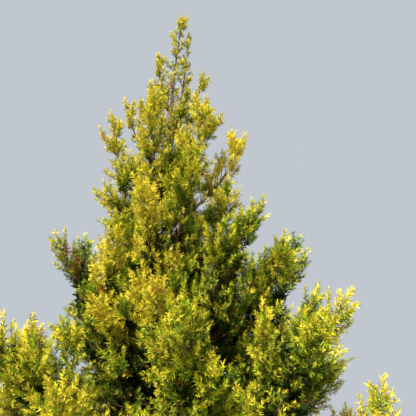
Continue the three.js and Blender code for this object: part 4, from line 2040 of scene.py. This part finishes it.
@dataclass(frozen=True)
class Plumes:
    """The plumes' pieces of shoots and of thin wood, tier by tier."""

    branching: Branching
    scale: ToneScale = ToneScale()
    least_sprigs: int = 3
    box_allowance: float = 0.02
    lowest: float = 0.02

    def build(self, finishes: Finishes) -> None:
        """Grow every plume, make the pieces and dress them.

        Args:
            finishes: The materials.
        """
        growth = PlumeGrowth(self.branching)
        for plume in self.branching.crown.plumes:
            growth.grow(plume)
        HeartGrowth(self.branching).grow()
        bold, common = BOLD_KIT.build(), KIT.build()
        kits = {tone: common for tone in Tone}
        kits |= {Tone.GOLD: bold, Tone.LEMON: bold}
        kits |= {Tone.DEEP: PLAIN_KIT.build(), Tone.SHADE: COARSE_KIT.build()}
        for tier in Tier:
            self._make_tier(tier, kits, finishes)

    def _make_tier(self, tier: Tier, kits: dict[Tone, list[Shape]], finishes: Finishes) -> None:
        """Make the pieces of one tier.

        Args:
            tier: The tier.
            kits: The shapes of the sprigs of each tone.
            finishes: The materials.
        """
        harvest = self.branching.tiers[tier]
        nodes = [plume.node for plume in self.branching.crown.plumes if plume.tier is tier]
        points, faces = np.concatenate(harvest.wood.points), np.concatenate(harvest.wood.faces)
        piece = mesh_piece(f"twigs_{tier.label}", points, faces)
        hand_over(piece, finishes.young_bark, nodes)
        sprigs = Sprigs.joined(harvest.sprigs)
        for tone, chosen in self.scale.deal(np.concatenate(harvest.lights)).items():
            if len(chosen) < self.least_sprigs:
                continue
            points, faces = self._shoot_mesh(kits[tone], sprigs.chosen(chosen))
            piece = mesh_piece(f"shoots_{tier.label}_{tone.value}", points, faces)
            hand_over(piece, finishes.shoots[tone], nodes)

    def _shoot_mesh(self, kit: list[Shape], sprigs: Sprigs) -> Shape:
        """Set a kind of sprig at every place, but for those that would leave the solids' box.

        Args:
            kit: The points and triangles of each kind of sprig.
            sprigs: The sprigs.

        Returns:
            The points and triangles of all of them.
        """
        roots, ways, faces, lengths = sprigs.rows
        normals = unit(faces - (faces * ways).sum(-1, keepdims=True) * ways)
        frames = np.stack((ways, np.cross(normals, ways), normals), axis=1)
        low, high = np.array(CAD_BOX[0]), np.array(CAD_BOX[1])
        margin = self.box_allowance * (high - low)
        all_points, all_faces, count = [], [], 0
        for kind, (shape, triangles) in enumerate(kit):
            own = np.arange(kind, len(roots), len(kit))
            if not len(own):
                continue
            points = np.einsum("pk,nkc->npc", shape, frames[own]) * lengths[own, None, None]
            points = points + roots[own, None, :]
            fits = ((points > low - margin) & (points < high + margin)).all(axis=(1, 2))
            points = points[fits & (points[:, :, 2] > self.lowest).all(axis=1)]
            offsets = count + np.arange(len(points)) * len(shape)
            all_faces.append((triangles[None] + offsets[:, None, None]).reshape(-1, 3))
            all_points.append(points.reshape(-1, 3))
            count += len(points) * len(shape)
        return np.concatenate(all_points), np.concatenate(all_faces)


@dataclass(frozen=True)
class Lamp:
    """A soft distant light.

    Its turn is in degrees: how far it leans from straight down, and how far it is turned round.
    Its softness is how many degrees of the sky it fills.
    """

    name: str
    turn: Span
    strength: float
    softness: float
    colour: Colour

    def hang(self) -> None:
        """Hang the light."""
        lamp = bpy.data.lights.new(self.name, "SUN")
        lamp.energy = self.strength
        lamp.color = self.colour
        lamp.angle = math.radians(self.softness)
        light = bpy.data.objects.new(self.name, lamp)
        lean, round_up = self.turn
        light.rotation_euler = (math.radians(lean), 0.0, math.radians(round_up))
        bpy.context.collection.objects.link(light)


@dataclass(frozen=True)
class Studio:
    """The plain pale floor, the soft light and the camera where the tree is looked at from."""

    eye: Place = (0.1, -2.75, 1.55)
    pitch: float = 24.0
    view_angle: float = 53.0
    farthest: float = 100.0
    floor_size: float = 18.0
    floor_height: float = -0.0005
    floor_colour: Colour = (0.3, 0.3, 0.292)
    floor_roughness: float = 0.9
    key: Lamp = Lamp("key", (50.0, -28.0), 8.6, 7.0, (1.0, 0.95, 0.84))
    fill: Lamp = Lamp("fill", (58.0, 158.0), 2.2, 50.0, (1.0, 0.98, 0.92))
    sky: Colour = (0.74, 0.79, 0.86)
    sky_strength: float = 0.72

    def build(self) -> None:
        """Set up the floor, the lights and the camera."""
        self._lay_floor()
        self.key.hang()
        self.fill.hang()
        self._light_sky()
        self._place_camera()
        LOG.info("studio ready")

    def _lay_floor(self) -> None:
        """Lay the floor."""
        deselect_all()
        bpy.ops.mesh.primitive_plane_add(size=self.floor_size, location=(0, 0, self.floor_height))
        floor = bpy.context.object
        floor.name = "floor"
        material = bpy.data.materials.new("pale floor")
        material.use_nodes = True
        shader = {"Base Color": (*self.floor_colour, 1.0), "Roughness": self.floor_roughness}
        feed(material.node_tree, material.node_tree.nodes["Principled BSDF"], shader)
        floor.data.materials.append(material)

    def _light_sky(self) -> None:
        """Light the scene all round with a pale sky."""
        world = bpy.data.worlds.new("pale sky")
        world.use_nodes = True
        sky = {"Color": (*self.sky, 1.0), "Strength": self.sky_strength}
        feed(world.node_tree, world.node_tree.nodes["Background"], sky)
        bpy.context.scene.world = world
        bpy.context.scene.view_settings.view_transform = "Standard"

    def _place_camera(self) -> None:
        """Place the camera at eye height, looking up at the crown."""
        camera = bpy.data.objects.new("camera", bpy.data.cameras.new("camera"))
        camera.data.sensor_fit = "HORIZONTAL"
        camera.data.angle = math.radians(self.view_angle)
        camera.data.clip_end = self.farthest
        camera.location = self.eye
        camera.rotation_euler = (math.radians(90 + self.pitch), 0.0, 0.0)
        bpy.context.collection.objects.link(camera)
        bpy.context.scene.camera = camera


def main() -> None:
    """Build the studio, the trunk, the boughs and the plumes in order."""
    logging.basicConfig(level=logging.INFO, format="%(message)s", stream=sys.stdout)
    Studio().build()
    shape = TrunkShape()
    crown = Crown(shape)
    finishes = Finishes()
    Trunk(shape).build(finishes)
    Boughs(crown).build(finishes)
    Plumes(Branching(crown)).build(finishes)


if __name__ == "__main__":
    main()
